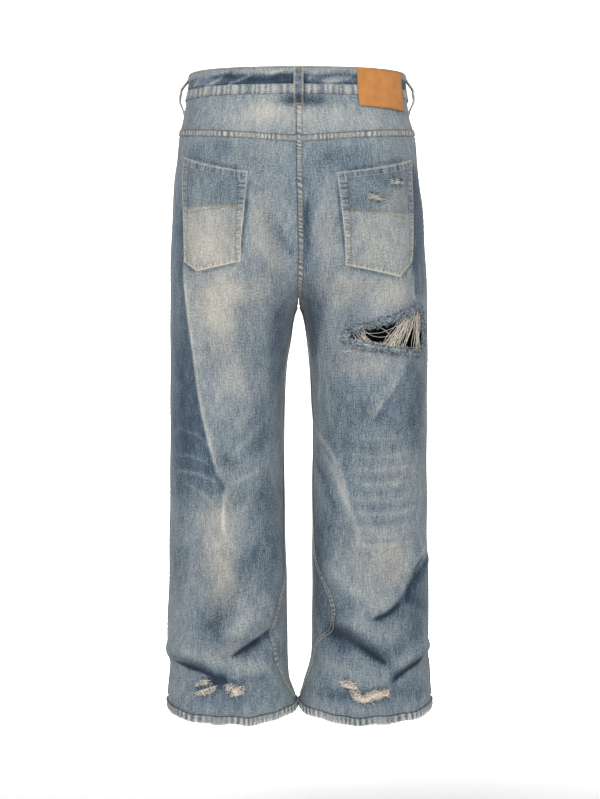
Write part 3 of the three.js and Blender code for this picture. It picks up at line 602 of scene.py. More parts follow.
def tubes(name, paths, radius, material, sides):
    """One joined mesh of many thin closed tubes. "paths" is an array of (tube, point, xyz)."""
    paths = np.asarray(paths, float)
    count, steps = paths.shape[:2]
    tangent = np.gradient(paths, axis=1)
    tangent /= np.linalg.norm(tangent, axis=-1, keepdims=True) + 1e-12
    helper = np.where(np.abs(tangent[..., 2:3]) < 0.9, [0.0, 0.0, 1.0], [1.0, 0.0, 0.0])
    across = np.cross(tangent, helper)
    across /= np.linalg.norm(across, axis=-1, keepdims=True)
    up = np.cross(across, tangent)
    turn = np.arange(sides) * 2 * math.pi / sides
    size = np.broadcast_to(np.asarray(radius, float).reshape(-1, 1, 1, 1), (count, steps, 1, 1)).copy()
    size[:, 0] *= THIN_END
    size[:, -1] *= THIN_END
    ring = across[:, :, None] * np.cos(turn)[:, None] + up[:, :, None] * np.sin(turn)[:, None]
    verts = (paths[:, :, None] + ring * size).reshape(-1, 3)
    first = (np.arange(count) * steps * sides)[:, None, None]
    step = (np.arange(steps - 1) * sides)[:, None]
    here, after = np.arange(sides), (np.arange(sides) + 1) % sides
    quads = np.stack([first + step + here, first + step + after, first + step + sides + after,
                      first + step + sides + here], axis=-1).reshape(-1, 4)
    starts = np.arange(count) * steps * sides
    caps = [[int(s + k) for k in reversed(range(sides))] for s in starts]
    caps += [[int(s + (steps - 1) * sides + k) for k in range(sides)] for s in starts]
    mesh = bpy.data.meshes.new(name)
    mesh.from_pydata(verts.tolist(), [], quads.tolist() + caps)
    mesh.polygons.foreach_set("use_smooth", np.ones(len(mesh.polygons), bool))
    mesh.materials.append(material)
    piece = bpy.data.objects.new(name, mesh)
    bpy.context.scene.collection.objects.link(piece)
    return piece


# ---------------------------------------------------------------- stitches
STITCH = 3.2 * MM
STITCH_PITCH = 4.1 * MM
THREAD = 0.48 * MM


def stitch_paths(side, along, z, lift, pitch=STITCH_PITCH, length=STITCH):
    """Short raised arcs of thread along a run of places."""
    side, along, z, lift = np.broadcast_arrays(side, along, z, lift)
    side, along = over_centre(side, along, z)
    point, normal = surface(side, along, z, lift)
    at = np.append(0, np.cumsum(np.linalg.norm(np.diff(point, axis=0), axis=1)))
    middles = np.arange(pitch / 2, at[-1] - pitch / 2, pitch)
    stations = middles[:, None] + length * np.array([-0.5, -0.3, 0, 0.3, 0.5])
    rise = np.array([-0.5, 0.7, 1.0, 0.7, -0.5]) * THREAD
    where = np.stack([np.interp(stations, at, point[:, k]) for k in range(3)], axis=-1)
    out = np.stack([np.interp(stations, at, normal[:, k]) for k in range(3)], axis=-1)
    return where + out * rise[:, None]


# ---------------------------------------------------------------- materials
def new_material(name, roughness, metallic=0.0):
    material = bpy.data.materials.new(name)
    material.use_nodes = True
    shader = material.node_tree.nodes["Principled BSDF"]
    shader.inputs["Roughness"].default_value = roughness
    shader.inputs["Metallic"].default_value = metallic
    shader.inputs["Specular IOR Level"].default_value = 0.25
    return material, material.node_tree, shader


def add_node(tree, kind, **settings):
    node = tree.nodes.new(kind)
    for key, value in settings.items():
        if key in node.inputs:
            node.inputs[key].default_value = value
        else:
            setattr(node, key, value)
    return node


def link(tree, source, output, target, socket):
    tree.links.new(source.outputs[output], target.inputs[socket])


def stretched_noise(tree, coordinates, socket, stretch, scale, detail=2.0, roughness=0.6):
    """Noise whose grain is stretched by a Mapping node, from -0.5 to 0.5."""
    mapping = add_node(tree, "ShaderNodeMapping", Scale=stretch)
    link(tree, coordinates, socket, mapping, "Vector")
    noise = add_node(tree, "ShaderNodeTexNoise", Scale=scale, Detail=detail, Roughness=roughness)
    link(tree, mapping, "Vector", noise, "Vector")
    centred = add_node(tree, "ShaderNodeMath", operation="SUBTRACT")
    link(tree, noise, "Fac", centred, 0)
    centred.inputs[1].default_value = 0.5
    return centred


def weighted_sum(tree, parts):
    """The sum of (node, output, weight) parts."""
    total = None
    for node, output, weight in parts:
        step = add_node(tree, "ShaderNodeMath", operation="MULTIPLY_ADD")
        link(tree, node, output, step, 0)
        step.inputs[1].default_value = weight
        if total:
            link(tree, total, "Value", step, 2)
        else:
            step.inputs[2].default_value = 0.0
        total = step
    return total


def ramp(tree, stops):
    node = add_node(tree, "ShaderNodeValToRGB")
    elements = node.color_ramp.elements
    while len(elements) < len(stops):
        elements.new(0.5)
    for element, (position, colour) in zip(elements, stops):
        element.position = position
        element.color = (*colour, 1)
    return node


def washed_denim():
    """Blue warp over pale weft: slubby vertical grain, fine twill, and the painted wash and cream tint."""
    material, tree, shader = new_material("washed_denim", 0.9)
    shader.inputs["Sheen Weight"].default_value = 0.12
    shader.inputs["Sheen Roughness"].default_value = 0.6
    cloth = add_node(tree, "ShaderNodeUVMap", uv_map="cloth")
    solid = add_node(tree, "ShaderNodeTexCoord")
    tone = add_node(tree, "ShaderNodeAttribute", attribute_name="tone")
    cream = add_node(tree, "ShaderNodeAttribute", attribute_name="cream")
    slub = stretched_noise(tree, cloth, "UV", (520, 52, 1), 1.0, 3.0)
    weft = stretched_noise(tree, cloth, "UV", (110, 560, 1), 1.0, 2.0)
    grain = stretched_noise(tree, cloth, "UV", (430, 360, 1), 1.0, 2.0, 0.8)
    cloud = stretched_noise(tree, solid, "Object", (1, 1, 0.55), 24, 4.0)
    patches = stretched_noise(tree, solid, "Object", (1, 1, 0.4), 80, 3.0)
    twill = add_node(tree, "ShaderNodeTexWave", Scale=150.0, Distortion=1.5, bands_direction="DIAGONAL")
    mapping = add_node(tree, "ShaderNodeMapping", Scale=(1, 1.6, 1))
    link(tree, cloth, "UV", mapping, "Vector")
    link(tree, mapping, "Vector", twill, "Vector")
    twill.inputs["Detail"].default_value = 2.0
    shade = weighted_sum(tree, [(tone, "Fac", 1.0), (slub, "Value", 0.62), (weft, "Value", 0.3),
                                (grain, "Value", 0.95), (cloud, "Value", 0.36), (patches, "Value", 0.3),
                                (twill, "Fac", 0.05)])
    shifted = add_node(tree, "ShaderNodeMath", operation="ADD")
    link(tree, shade, "Value", shifted, 0)
    shifted.inputs[1].default_value = -0.025
    blues = ramp(tree, [(0.0, (0.012, 0.026, 0.05)), (0.25, (0.05, 0.086, 0.13)),
                        (0.5, (0.172, 0.225, 0.268)), (0.75, (0.36, 0.392, 0.398)),
                        (1.0, (0.62, 0.605, 0.555))])
    link(tree, shifted, "Value", blues, "Fac")
    creams = ramp(tree, [(0.0, (0.07, 0.08, 0.085)), (0.3, (0.19, 0.185, 0.165)), (0.6, (0.42, 0.385, 0.32)),
                         (1.0, (0.7, 0.64, 0.54))])
    link(tree, shifted, "Value", creams, "Fac")
    tint = add_node(tree, "ShaderNodeMix", data_type="RGBA")
    link(tree, cream, "Fac", tint, "Factor")
    tree.links.new(blues.outputs["Color"], tint.inputs["A"])
    tree.links.new(creams.outputs["Color"], tint.inputs["B"])
    tree.links.new(tint.outputs["Result"], shader.inputs["Base Color"])
    relief_sum = weighted_sum(tree, [(slub, "Value", 0.5), (grain, "Value", 0.8), (twill, "Fac", 0.5)])
    bump = add_node(tree, "ShaderNodeBump", Strength=0.35, Distance=0.0006)
    link(tree, relief_sum, "Value", bump, "Height")
    link(tree, bump, "Normal", shader, "Normal")
    return material


def mottle(tree, shader, noise, contrast, dark, light):
    """Colour a surface from dark to light by a noise, half way where the noise is 0."""
    shift = weighted_sum(tree, [(noise, "Value", contrast)])
    centred = add_node(tree, "ShaderNodeMath", operation="ADD")
    link(tree, shift, "Value", centred, 0)
    centred.inputs[1].default_value = 0.5
    colours = ramp(tree, [(0.0, dark), (1.0, light)])
    link(tree, centred, "Value", colours, "Fac")
    link(tree, colours, "Color", shader, "Base Color")


def cotton_thread(name, dark, light, grain=900, contrast=1.6):
    material, tree, shader = new_material(name, 0.85)
    solid = add_node(tree, "ShaderNodeTexCoord")
    noise = stretched_noise(tree, solid, "Object", (1, 1, 1), grain, 2.0)
    mottle(tree, shader, noise, contrast, dark, light)
    return material


def painted_shade_inside():
    """The reverse of the cloth, coloured near black as painted shade, for it lies deep in shade."""
    material, tree, shader = new_material("painted_shade_inside", 0.95)
    cloth = add_node(tree, "ShaderNodeUVMap", uv_map="cloth")
    grain = stretched_noise(tree, cloth, "UV", (300, 300, 1), 1.0, 2.0)
    mottle(tree, shader, grain, 1.0, (0.008, 0.012, 0.018), (0.05, 0.06, 0.075))
    return material


def tan_leather():
    material, tree, shader = new_material("tan_leather", 0.55)
    solid = add_node(tree, "ShaderNodeTexCoord")
    edge = add_node(tree, "ShaderNodeAttribute", attribute_name="tone")
    mottled = stretched_noise(tree, solid, "Object", (1, 1, 1), 60, 4.0)
    pores = stretched_noise(tree, solid, "Object", (1, 1, 1), 700, 3.0, 0.7)
    shade = weighted_sum(tree, [(edge, "Fac", 1.0), (mottled, "Value", 0.5), (pores, "Value", 0.35)])
    colours = ramp(tree, [(0.0, (0.13, 0.05, 0.018)), (0.35, (0.4, 0.17, 0.05)), (0.6, (0.57, 0.245, 0.07)),
                          (1.0, (0.7, 0.34, 0.12))])
    link(tree, shade, "Value", colours, "Fac")
    link(tree, colours, "Color", shader, "Base Color")
    bump = add_node(tree, "ShaderNodeBump", Strength=0.3, Distance=0.0005)
    link(tree, pores, "Value", bump, "Height")
    link(tree, bump, "Normal", shader, "Normal")
    return material


def aged_brass():
    material, tree, shader = new_material("aged_brass", 0.38, 1.0)
    solid = add_node(tree, "ShaderNodeTexCoord")
    noise = stretched_noise(tree, solid, "Object", (1, 1, 1), 400, 3.0)
    mottle(tree, shader, noise, 1.2, (0.14, 0.1, 0.06), (0.5, 0.4, 0.26))
    return material


DENIM = washed_denim()
INSIDE_SHADE = painted_shade_inside()
CREAM_THREAD = cotton_thread("cream_thread", (0.4, 0.35, 0.27), (0.98, 0.94, 0.86), 420, 2.4)
PEACH_THREAD = cotton_thread("peach_thread", (0.56, 0.42, 0.31), (1.0, 0.9, 0.78), 500, 2.2)
TAN_THREAD = cotton_thread("tan_thread", (0.24, 0.17, 0.1), (0.6, 0.48, 0.32))
PALE_THREAD = cotton_thread("pale_stitching", (0.34, 0.31, 0.26), (0.74, 0.69, 0.6))
BLUE_FRAY = cotton_thread("blue_fray", (0.012, 0.028, 0.05), (0.54, 0.63, 0.67), 300, 3.2)
LEATHER = tan_leather()
BRASS = aged_brass()


# ---------------------------------------------------------------- edges that pieces share
def hem_z(side, along):
    place = wrapped(side, along, np.full(np.shape(along), HEM_Z))
    length = half_length(side, np.where(place < 0, FRONT, BACK), HEM_Z * np.ones(np.shape(along)))
    waves = 1.5 * MM * np.sin(place * 58 + side) + 1.1 * MM * np.sin(place * 133 + 2 * side)
    ends = np.sin(math.pi * np.abs(place) / length)
    return HEM_Z - HEM_SAG * ends + waves * ends


WIDENING_ABOVE, WIDENING_BELOW, SETTLED = -230 * MM, -520 * MM, 0.6


def column_at(side, face, start, end, share, z):
    """A panel's columns widen quickly at the crotch, and only those nearest it follow that."""
    before, after = half_length(side, face, WIDENING_ABOVE), half_length(side, face, WIDENING_BELOW)
    middle = mix(before, after, ease((WIDENING_ABOVE - z) / (WIDENING_ABOVE - WIDENING_BELOW)))
    even = np.where((z < WIDENING_ABOVE) & (z > WIDENING_BELOW), middle, end)
    settled = mix(start, even, SETTLED)
    beyond = mix(settled, end, (share - SETTLED) / (1 - SETTLED))
    return np.where(share <= SETTLED, mix(start, even, share), beyond)


def back_column(side, share, z):
    length = half_length(side, BACK, z)
    end = np.where(z > CROTCH_Z, length, length - follow(INSIDE_SEAM[side], z) - SEAM_GAP / 2)
    return column_at(side, BACK, SEAM_GAP / 2 - SIDE_SEAM, end, share, z)


def front_column(side, share, z):
    length = half_length(side, FRONT, z)
    end = np.where(z > CROTCH_Z, length, length + follow(INSIDE_SEAM[side], z) - SEAM_GAP / 2)
    return -column_at(side, FRONT, SIDE_SEAM + SEAM_GAP / 2, end, share, z)


def yoke_seam(share):
    return mix(YOKE_SIDE_Z, YOKE_CENTRE_Z, share**0.8)


SCOOP_WIDTH, SCOOP_DROP, SCOOP_UNDER = 0.43, 94.5 * MM, 12 * MM


def waist_seam(share):
    return BAND_BOTTOM + 4 * MM - FRONT_DIP * ease(share)


def pocket_mouth(share):
    return waist_seam(share) - SCOOP_DROP * np.sqrt(np.clip(1 - (share / SCOOP_WIDTH) ** 2, 0, 1))


# ---------------------------------------------------------------- the rip
# Its open part, as (across, upper z, lower z) in millimetres, from the inner tip outwards.
RIP = [(75, -412, -413), (80, -405, -416), (90, -399, -420), (112, -394, -423), (136, -388, -427),
       (158, -381, -431), (176, -374, -433), (188, -366, -434), (196, -368, -431), (200, -382, -424),
       (201, -396, -408)]


def rip_outline():
    """The rip's edge as closed (along, z) points, slightly ragged."""
    upper = [(x, top) for x, top, _ in RIP]
    lower = [(x, bottom) for x, _, bottom in RIP[::-1]]
    corners = [(along_at(RIGHT, BACK, x * MM, z * MM), z * MM) for x, z in upper + lower]
    points = smooth_route(corners, 150)
    ragged = DICE.normal(0, 0.55 * MM, points.shape)
    return points + ragged


def inside_outline(outline, along, z):
    inside = np.zeros(along.shape, bool)
    x0, z0 = outline[-1]
    for x1, z1 in outline:
        if z0 != z1:
            crosses = ((z1 > z) != (z0 > z)) & (along < (x0 - x1) * (z - z1) / (z0 - z1) + x1)
            inside ^= crosses
        x0, z0 = x1, z1
    return inside


def snapped_to(outline, along, z, reach):
    """Moves places that lie near an outline onto it, so that a grid can be cut along it."""
    box = (along > outline[:, 0].min() - reach) & (along < outline[:, 0].max() + reach)
    box &= (z > outline[:, 1].min() - reach) & (z < outline[:, 1].max() + reach)
    index = np.nonzero(box)
    best = np.full(len(index[0]), np.inf)
    target = np.stack([along[index], z[index]], axis=-1)
    result = target.copy()
    for a, b in zip(outline, np.roll(outline, -1, axis=0)):
        d = b - a
        share = np.clip(((target - a) @ d) / max(d @ d, 1e-12), 0, 1)
        closest = a + share[:, None] * d
        far = np.linalg.norm(target - closest, axis=1)
        take = (far < best) & (far < reach)
        result[take] = closest[take]
        best = np.minimum(best, far)
    along, z = along.copy(), z.copy()
    along[index], z[index] = result[:, 0], result[:, 1]
    return along, z


RIP_EDGE = rip_outline()


# ---------------------------------------------------------------- the panels
def leg_rows(side, top_edge, column, share, spacing):
    """The z of a leg panel's grid: level rows, but for its shaped top edge and its sagging hem."""
    levels = np.arange(YOKE_CENTRE_Z, HEM_Z, -spacing)
    levels = np.append(levels, HEM_Z)[:, None]
    near_top = ease(1 - (YOKE_CENTRE_Z - levels) / (200 * MM))
    edge = column(side, share, np.full(share.shape, HEM_Z))
    sag = hem_z(side, edge) - HEM_Z
    near_hem = ease((-levels - 850 * MM) / (161 * MM))
    return levels + (top_edge(share) - YOKE_CENTRE_Z) * near_top + sag * near_hem


def back_panel(side, name):
    share = np.linspace(0, 1, int(350 * MM / FINE))[None, :]
    z = leg_rows(side, lambda u: yoke_seam(u) - SEAM_GAP, back_column, share, FINE)
    share = np.broadcast_to(share, z.shape)
    along = back_column(side, share, z)
    kept = None
    if side == RIGHT:
        along, z = snapped_to(RIP_EDGE, along, z, 1.9 * MM)
        centre = [(grid[:-1, :-1] + grid[1:, :-1] + grid[1:, 1:] + grid[:-1, 1:]) / 4 for grid in (along, z)]
        kept = ~inside_outline(RIP_EDGE, *centre)
    piece = cloth_object(f"back_panel_{name}", side, along, z, 0, CLOTH, [DENIM, INSIDE_SHADE], kept=kept,
                         whole_leg=True)
    return settle(piece, "denim", f"back_leg_{name}")


def front_panel(side, name):
    share = np.linspace(0, 1, int(340 * MM / PLAIN))
    share = np.sort(np.append(share, [SCOOP_WIDTH * k for k in (0.9, 0.95, 0.98, 0.995)]))[None, :]
    z = leg_rows(side, pocket_mouth, front_column, share, PLAIN)
    along = front_column(side, np.broadcast_to(share, z.shape), z)
    piece = cloth_object(f"front_panel_{name}", side, along, z, 0, CLOTH, [DENIM, INSIDE_SHADE], whole_leg=True)
    return settle(piece, "denim", f"front_leg_{name}")


def pocket_facing(side, name):
    share = np.linspace(0, 0.5, 40)[None, :]
    v = np.linspace(0, 1, 30)[:, None]
    z = mix(waist_seam(share), BAND_BOTTOM - SCOOP_DROP - SCOOP_UNDER, v)
    along = front_column(side, np.broadcast_to(share, z.shape), z)
    at_side_seam = ease(1 - share / 0.14) * ease((z - pocket_mouth(share) - 1.5 * MM) / (7 * MM))
    lift = mix(-3.4 * MM, -0.2 * MM, at_side_seam)
    piece = cloth_object(f"pocket_facing_{name}", side, along, z, lift, 1.2 * MM, [DENIM, INSIDE_SHADE], tone=-0.12)
    return settle(piece, "denim", f"front_pocket_facing_{name}")


def yoke(side, name):
    share = np.linspace(0, 1, 90)[None, :]
    v = np.linspace(0, 1, 26)[:, None]
    z = mix(BAND_BOTTOM + 4 * MM, yoke_seam(share), v)
    along = back_column(side, np.broadcast_to(share, z.shape), z)
    piece = cloth_object(f"back_yoke_{name}", side, along, z, 0, CLOTH, [DENIM, INSIDE_SHADE])
    return settle(piece, "denim", f"yoke_{name}")


# ---------------------------------------------------------------- the waistband
OVERLAP_START, OVERLAP_FULL = 0.885, 0.935
BAND_ENDS = (-1.045, 1.035)


def waist_places(rounds, height):
    """Places on the waistband. "rounds" is 0 at the centre back, 1 at the centre front over the left side and
    -1 over the right; past the middle it goes on over the other side."""
    past = np.abs(rounds) > 1
    side = np.where((rounds < 0) ^ past, RIGHT, LEFT)
    share = np.where(past, 2 - np.abs(rounds), np.abs(rounds))
    level = mix(BAND_TOP, BAND_BOTTOM, height)
    back, front = half_length(side, BACK, level), half_length(side, FRONT, level)
    along = back - share * (back + front)
    return side, along, level - FRONT_DIP * ease(-along / front)


def raised_end(rounds):
    return 3.9 * MM * ease((rounds - OVERLAP_START) / (OVERLAP_FULL - OVERLAP_START))


def waistband_stitches():
    """One row just under the top edge and one just over the bottom edge, all round."""
    rounds = np.linspace(-0.995, 0.995, 900)
    rows = []
    for height, lift in ((0.06, 0.9 * MM), (0.93, 1.0 * MM)):
        side, along, z = waist_places(rounds, np.full(900, height))
        rows.append(stitch_paths(side, along, z, BAND_PROUD + raised_end(rounds) + lift))
    return rows


def waistband():
    rounds = np.linspace(*BAND_ENDS, 430)[None, :]
    height = np.linspace(0, 1, 27)[:, None]
    rounds, height = np.broadcast_arrays(rounds, height)
    side, along, z = waist_places(rounds, height)
    seam_ridge = 0.7 * MM * ease((height - 0.6) / 0.08) * ease((1.02 - height) / 0.05)
    top_roll = 0.6 * MM * ease((0.3 - height) / 0.12)
    walk = rounds * 442  # roughly the millimetres from the centre back
    ticks = np.sin(walk * 0.62 + 2.2 * np.sin(walk * 0.11) + 1.2 * np.sin(walk * 0.29))
    ticks = ticks * ease((height - 0.64) / 0.06)
    lift = BAND_PROUD + raised_end(rounds) + seam_ridge + top_roll + 0.15 * MM * ticks
    dark_band = ease((height - 0.2) / 0.14) * ease((0.66 - height) / 0.06)
    blotch = 0.5 + 0.5 * np.sin(walk * 0.045 + 0.8) * np.sin(walk * 0.019 + 2.1)
    seam_line = np.exp(-(((height - 0.62) / 0.035) ** 2)) + 0.8 * np.exp(-(((height - 1) / 0.03) ** 2))
    tone = 0.06 - 0.46 * dark_band * (0.25 + 0.9 * blotch) + 0.2 * ticks - 0.3 * seam_line
    cream = 0.16 * (1 - dark_band)
    piece = cloth_object("waistband_strip", side, along, z, lift, 3.0 * MM, [DENIM, INSIDE_SHADE], tone, cream)
    return settle(piece, "denim_dark", "waistband")


# ---------------------------------------------------------------- back pockets
def pocket_places(side, u, v):
    """u is 0 at the inner edge and 1 at the outer one, v is 0 at the top edge and 1 at the bottom."""
    corners = [np.array([along_at(side, BACK, x * MM, z * MM), z * MM]) for x, z in POCKETS[side]]
    top_inner, top_outer, bottom_inner, point, bottom_outer = corners
    tip = (bottom_inner[0] - point[0]) / (bottom_inner[0] - bottom_outer[0])
    to_tip, past_tip = np.clip(u / tip, 0, 1), np.clip((u - tip) / (1 - tip), 0, 1)
    places = []
    for axis in (0, 1):
        top = mix(top_inner[axis], top_outer[axis], u) - axis * 3.5 * MM * np.sin(math.pi * u)
        bottom = np.where(u < tip, mix(bottom_inner[axis], point[axis], to_tip),
                          mix(point[axis], bottom_outer[axis], past_tip))
        places.append(mix(top, bottom, v))
    width = np.linalg.norm(top_inner - top_outer)
    height = np.linalg.norm(top_inner - bottom_inner)
    return places[0], places[1], width, height


# The two decorative arcs that cross on each back pocket, as (across, z) points in millimetres.
ARCS = {
    LEFT: ([(180, -205), (140, -200), (99, -201)], [(180, -213), (140, -207), (99, -203)]),
    RIGHT: ([(84, -208), (130, -210), (174, -213)], [(84, -211), (130, -214), (174, -221)]),
}
POCKET_TOP_BAND, POCKET_FOOT_BAND = 11 * MM, 6.5 * MM


def side_band(v):
    """The doubled cloth down a pocket's sides narrows towards its foot."""
    return mix(17 * MM, 9 * MM, v)


def back_pocket(side, name):
    columns = np.linspace(0, 1, 84)[None, :]
    rows = np.linspace(0, 1, 120)[:, None]
    u, v = np.broadcast_arrays(columns, rows)
    along, z, width, height = pocket_places(side, u, v)
    inner, outer, top, bottom = u * width, (1 - u) * width, v * height, (1 - v) * height
    edge = np.minimum(np.minimum(inner, outer), np.minimum(top, bottom))
    fold_line = np.exp(-((edge / (1.5 * MM)) ** 2))
    turned = ease((POCKET_TOP_BAND - top) / (1.5 * MM))
    sides = ease((side_band(v) - np.minimum(inner, outer)) / (1.5 * MM))
    foot = ease((POCKET_FOOT_BAND - bottom) / (1.5 * MM))
    doubled = np.clip(turned + sides + foot, 0, 1) * (1 - fold_line)
    upright = np.minimum(inner, outer) < np.minimum(top, bottom)
    run = np.where(upright, z, along) / MM
    ticks = np.sin(run * 0.95 + 2.0 * np.sin(run * 0.17) + 1.3 * np.sin(run * 0.41))
    step = np.exp(-(((np.minimum(inner, outer) - side_band(v)) / (1.3 * MM)) ** 2)) * (v > 0.07)
    lift = 0.9 * MM + 0.9 * MM * turned + 0.5 * MM * np.clip(sides + foot, 0, 1) + 0.35 * MM * ticks * doubled
    _, arc_z = np.array(ARCS[side][0][1]) * MM
    below_arcs = ease((arc_z - z) / (5 * MM))
    tone = 0.38 * fold_line + 0.13 * ticks * doubled + 0.02 * doubled - 0.22 * step
    tone += 0.1 * (below_arcs - 1) + 0.04 * below_arcs
    cream = 0.45 * fold_line + 0.12 * below_arcs + 0.1 * np.clip(ticks, 0, 1) * doubled
    piece = cloth_object(f"patch_pocket_{name}", side, along, z, lift, 1.5 * MM, [DENIM], tone, cream,
                         pocket=True)
    return settle(piece, "denim", f"back_pocket_{name}")


def pocket_stitches(side):
    """Rows beside each pocket's edge and its doubled band, and the crossing arcs."""
    _, _, width, height = pocket_places(side, np.zeros(1), np.zeros(1))
    t = np.linspace(0, 1, 120)
    from_edge = 2.6 * MM
    rows = []

    def row(u, v, lift):
        along, z, _, _ = pocket_places(side, u, v)
        rows.append(stitch_paths(side, along, z, lift))

    down = mix(0.02, 1 - from_edge / height, t)
    for inset in (np.full(t.shape, from_edge), side_band(down)):
        row(inset / width, down, 1.5 * MM)
        row(1 - inset / width, down, 1.5 * MM)
    for low in (2.4 * MM, POCKET_FOOT_BAND):
        row(mix(0.03, 0.97, t), np.full(t.shape, 1 - low / height), 1.5 * MM)
    for depth in (2.4 * MM, POCKET_TOP_BAND - MM):
        row(mix(0.01, 0.99, t), np.full(t.shape, depth / height), 2.0 * MM)
    arcs = []
    for arc in ARCS[side]:
        route = smooth_route([(along_at(side, BACK, x * MM, z * MM), z * MM) for x, z in arc], 60)
        arcs.append(stitch_paths(side, route[:, 0], route[:, 1], 1.15 * MM))
    return rows, arcs


# ---------------------------------------------------------------- loops, patch and fly
LOOP_WIDTH, LOOP_TOP, LOOP_BOTTOM = 15 * MM, 20.5 * MM, -43 * MM


def loop_shape(bow, v):
    return 1.7 * MM + bow * ease(v / 0.4) * ease((1 - v) / 0.4)


def belt_loop(name, node, bow, dip, place_across):
    u, v = np.broadcast_arrays(np.linspace(-0.5, 0.5, 11)[None, :], np.linspace(0, 1, 46)[:, None])
    z = mix(LOOP_TOP, LOOP_BOTTOM, v) - dip
    side, along = place_across(LOOP_WIDTH * u, z)
    rim = np.exp(-(((0.5 - np.abs(u)) * LOOP_WIDTH / (1.6 * MM)) ** 2))
    ends = np.exp(-((np.minimum(v, 1 - v) * 64 / 4) ** 2))
    crown = 0.5 * MM * (1 - (2 * np.abs(u)) ** 4)
    tone = 0.3 * rim - 0.12 * (1 - rim) + 0.08 * np.sin(v * 30 + 1.0) + 0.1 * ends
    cream = 0.55 * rim + 0.3 * ends
    piece = cloth_object(name, side, along, z, loop_shape(bow, v) + crown, 1.9 * MM, [DENIM], tone, cream)
    settle(piece, "denim_dark", node)
    stitches = []
    for across in (-0.3, 0.3):
        line = np.linspace(0.02, 0.98, 80)
        line_z = mix(LOOP_TOP, LOOP_BOTTOM, line) - dip
        line_side, line_along = place_across(np.full(80, across * LOOP_WIDTH), line_z)
        stitches.append(stitch_paths(line_side, line_along, line_z, loop_shape(bow, line) + crown[0, 2]))
    for bar_v in (0.035, 0.955):
        bar = np.linspace(-0.42, 0.42, 40)
        bar_z = np.full(40, mix(LOOP_TOP, LOOP_BOTTOM, bar_v) - dip)
        bar_side, bar_along = place_across(bar * LOOP_WIDTH, bar_z)
        for drop in (-0.9, 0.0, 0.9):
            lift = loop_shape(bow, np.full(40, bar_v)) + 0.5 * MM
            stitches.append(stitch_paths(bar_side, bar_along, bar_z + drop * MM, lift, 1.5 * MM, 1.3 * MM))
    return stitches


def belt_loops():
    """The centre back loop lies over the seat seam, two lie at the side seams and two at the front."""
    def centre(across, z):
        side = np.where(across < 0, RIGHT, LEFT)
        return side, half_length(side, BACK, z) - np.abs(across)

    stitches = belt_loop("loop_centre_back", "belt_loop_back", 8 * MM, 0, centre)
    for side, name in SIDES:
        def at_side(across, z, side=side):
            return np.full(z.shape, side), across - SIDE_SEAM / 2

        def at_front(across, z, side=side):
            return np.full(z.shape, side), front_column(side, 0.66, np.zeros(1)) + across

        stitches += belt_loop(f"loop_at_side_{name}", f"belt_loop_side_{name}", 11 * MM, 0, at_side)
        dip = FRONT_DIP * float(ease(0.66))
        stitches += belt_loop(f"loop_at_front_{name}", f"belt_loop_front_{name}", 9 * MM, dip, at_front)
    return stitches


def leather_patch():
    u, v = np.broadcast_arrays(np.linspace(0, 1, 60)[None, :], np.linspace(0, 1, 50)[:, None])
    z = mix(22 * MM, -42 * MM, v) - 3 * MM * u
    inner = mix(along_at(RIGHT, BACK, 93 * MM, 19 * MM), along_at(RIGHT, BACK, 97 * MM, -42 * MM), v)
    outer = mix(along_at(RIGHT, BACK, 164 * MM, 19 * MM), along_at(RIGHT, BACK, 170 * MM, -42 * MM), v)
    along = mix(inner, outer, u)
    width, height = 76, 64  # roughly its size as seen, in millimetres
    edge = np.minimum(np.minimum(u, 1 - u) * width, np.minimum(v, 1 - v) * height)
    stitched = np.exp(-(((edge - 3.2) / 0.8) ** 2))
    lift = 2.0 * MM + 0.8 * MM * (1 - np.exp(-edge / 1.2)) - 0.35 * MM * stitched
    lift = lift + 1.6 * MM * np.exp(-((np.hypot(1 - u, v) / 0.25) ** 2)) + 0.6 * MM * np.sin(math.pi * u)
    dents = 0.5 + 0.5 * np.sin((u * width + v * height) * 2.1)
    tone = 0.56 - 0.34 * np.exp(-edge / 0.8) - 0.2 * stitched * dents
    piece = cloth_object("leather_patch", RIGHT, along, z, lift, 1.6 * MM, [LEATHER], tone, takes_wash_and_shade=False)
    return settle(piece, "patch_leather", "patch")


def fly_flap():
    u, v = np.broadcast_arrays(np.linspace(0, 1, 18)[None, :], np.linspace(0, 1, 60)[:, None])
    top = BAND_BOTTOM - FRONT_DIP - 2 * SEAM_GAP
    z = mix(top, -212 * MM, v)
    width = np.maximum(5 * MM, 38 * MM * np.sqrt(np.clip(1 - np.clip((v - 0.72) / 0.28, 0, 1) ** 2, 0, 1)))
    along = -(half_length(LEFT, FRONT, z) - width * u)
    piece = cloth_object("fly_front", LEFT, along, z, 1.5 * MM, 1.1 * MM, [DENIM], tone=-0.06)
    return settle(piece, "denim", "fly")


# ---------------------------------------------------------------- felled seams
PUCKER = 7.5 * MM  # from one pucker to the next
CROWN = 0.9 * MM  # how far a seam's ridge is rounded out


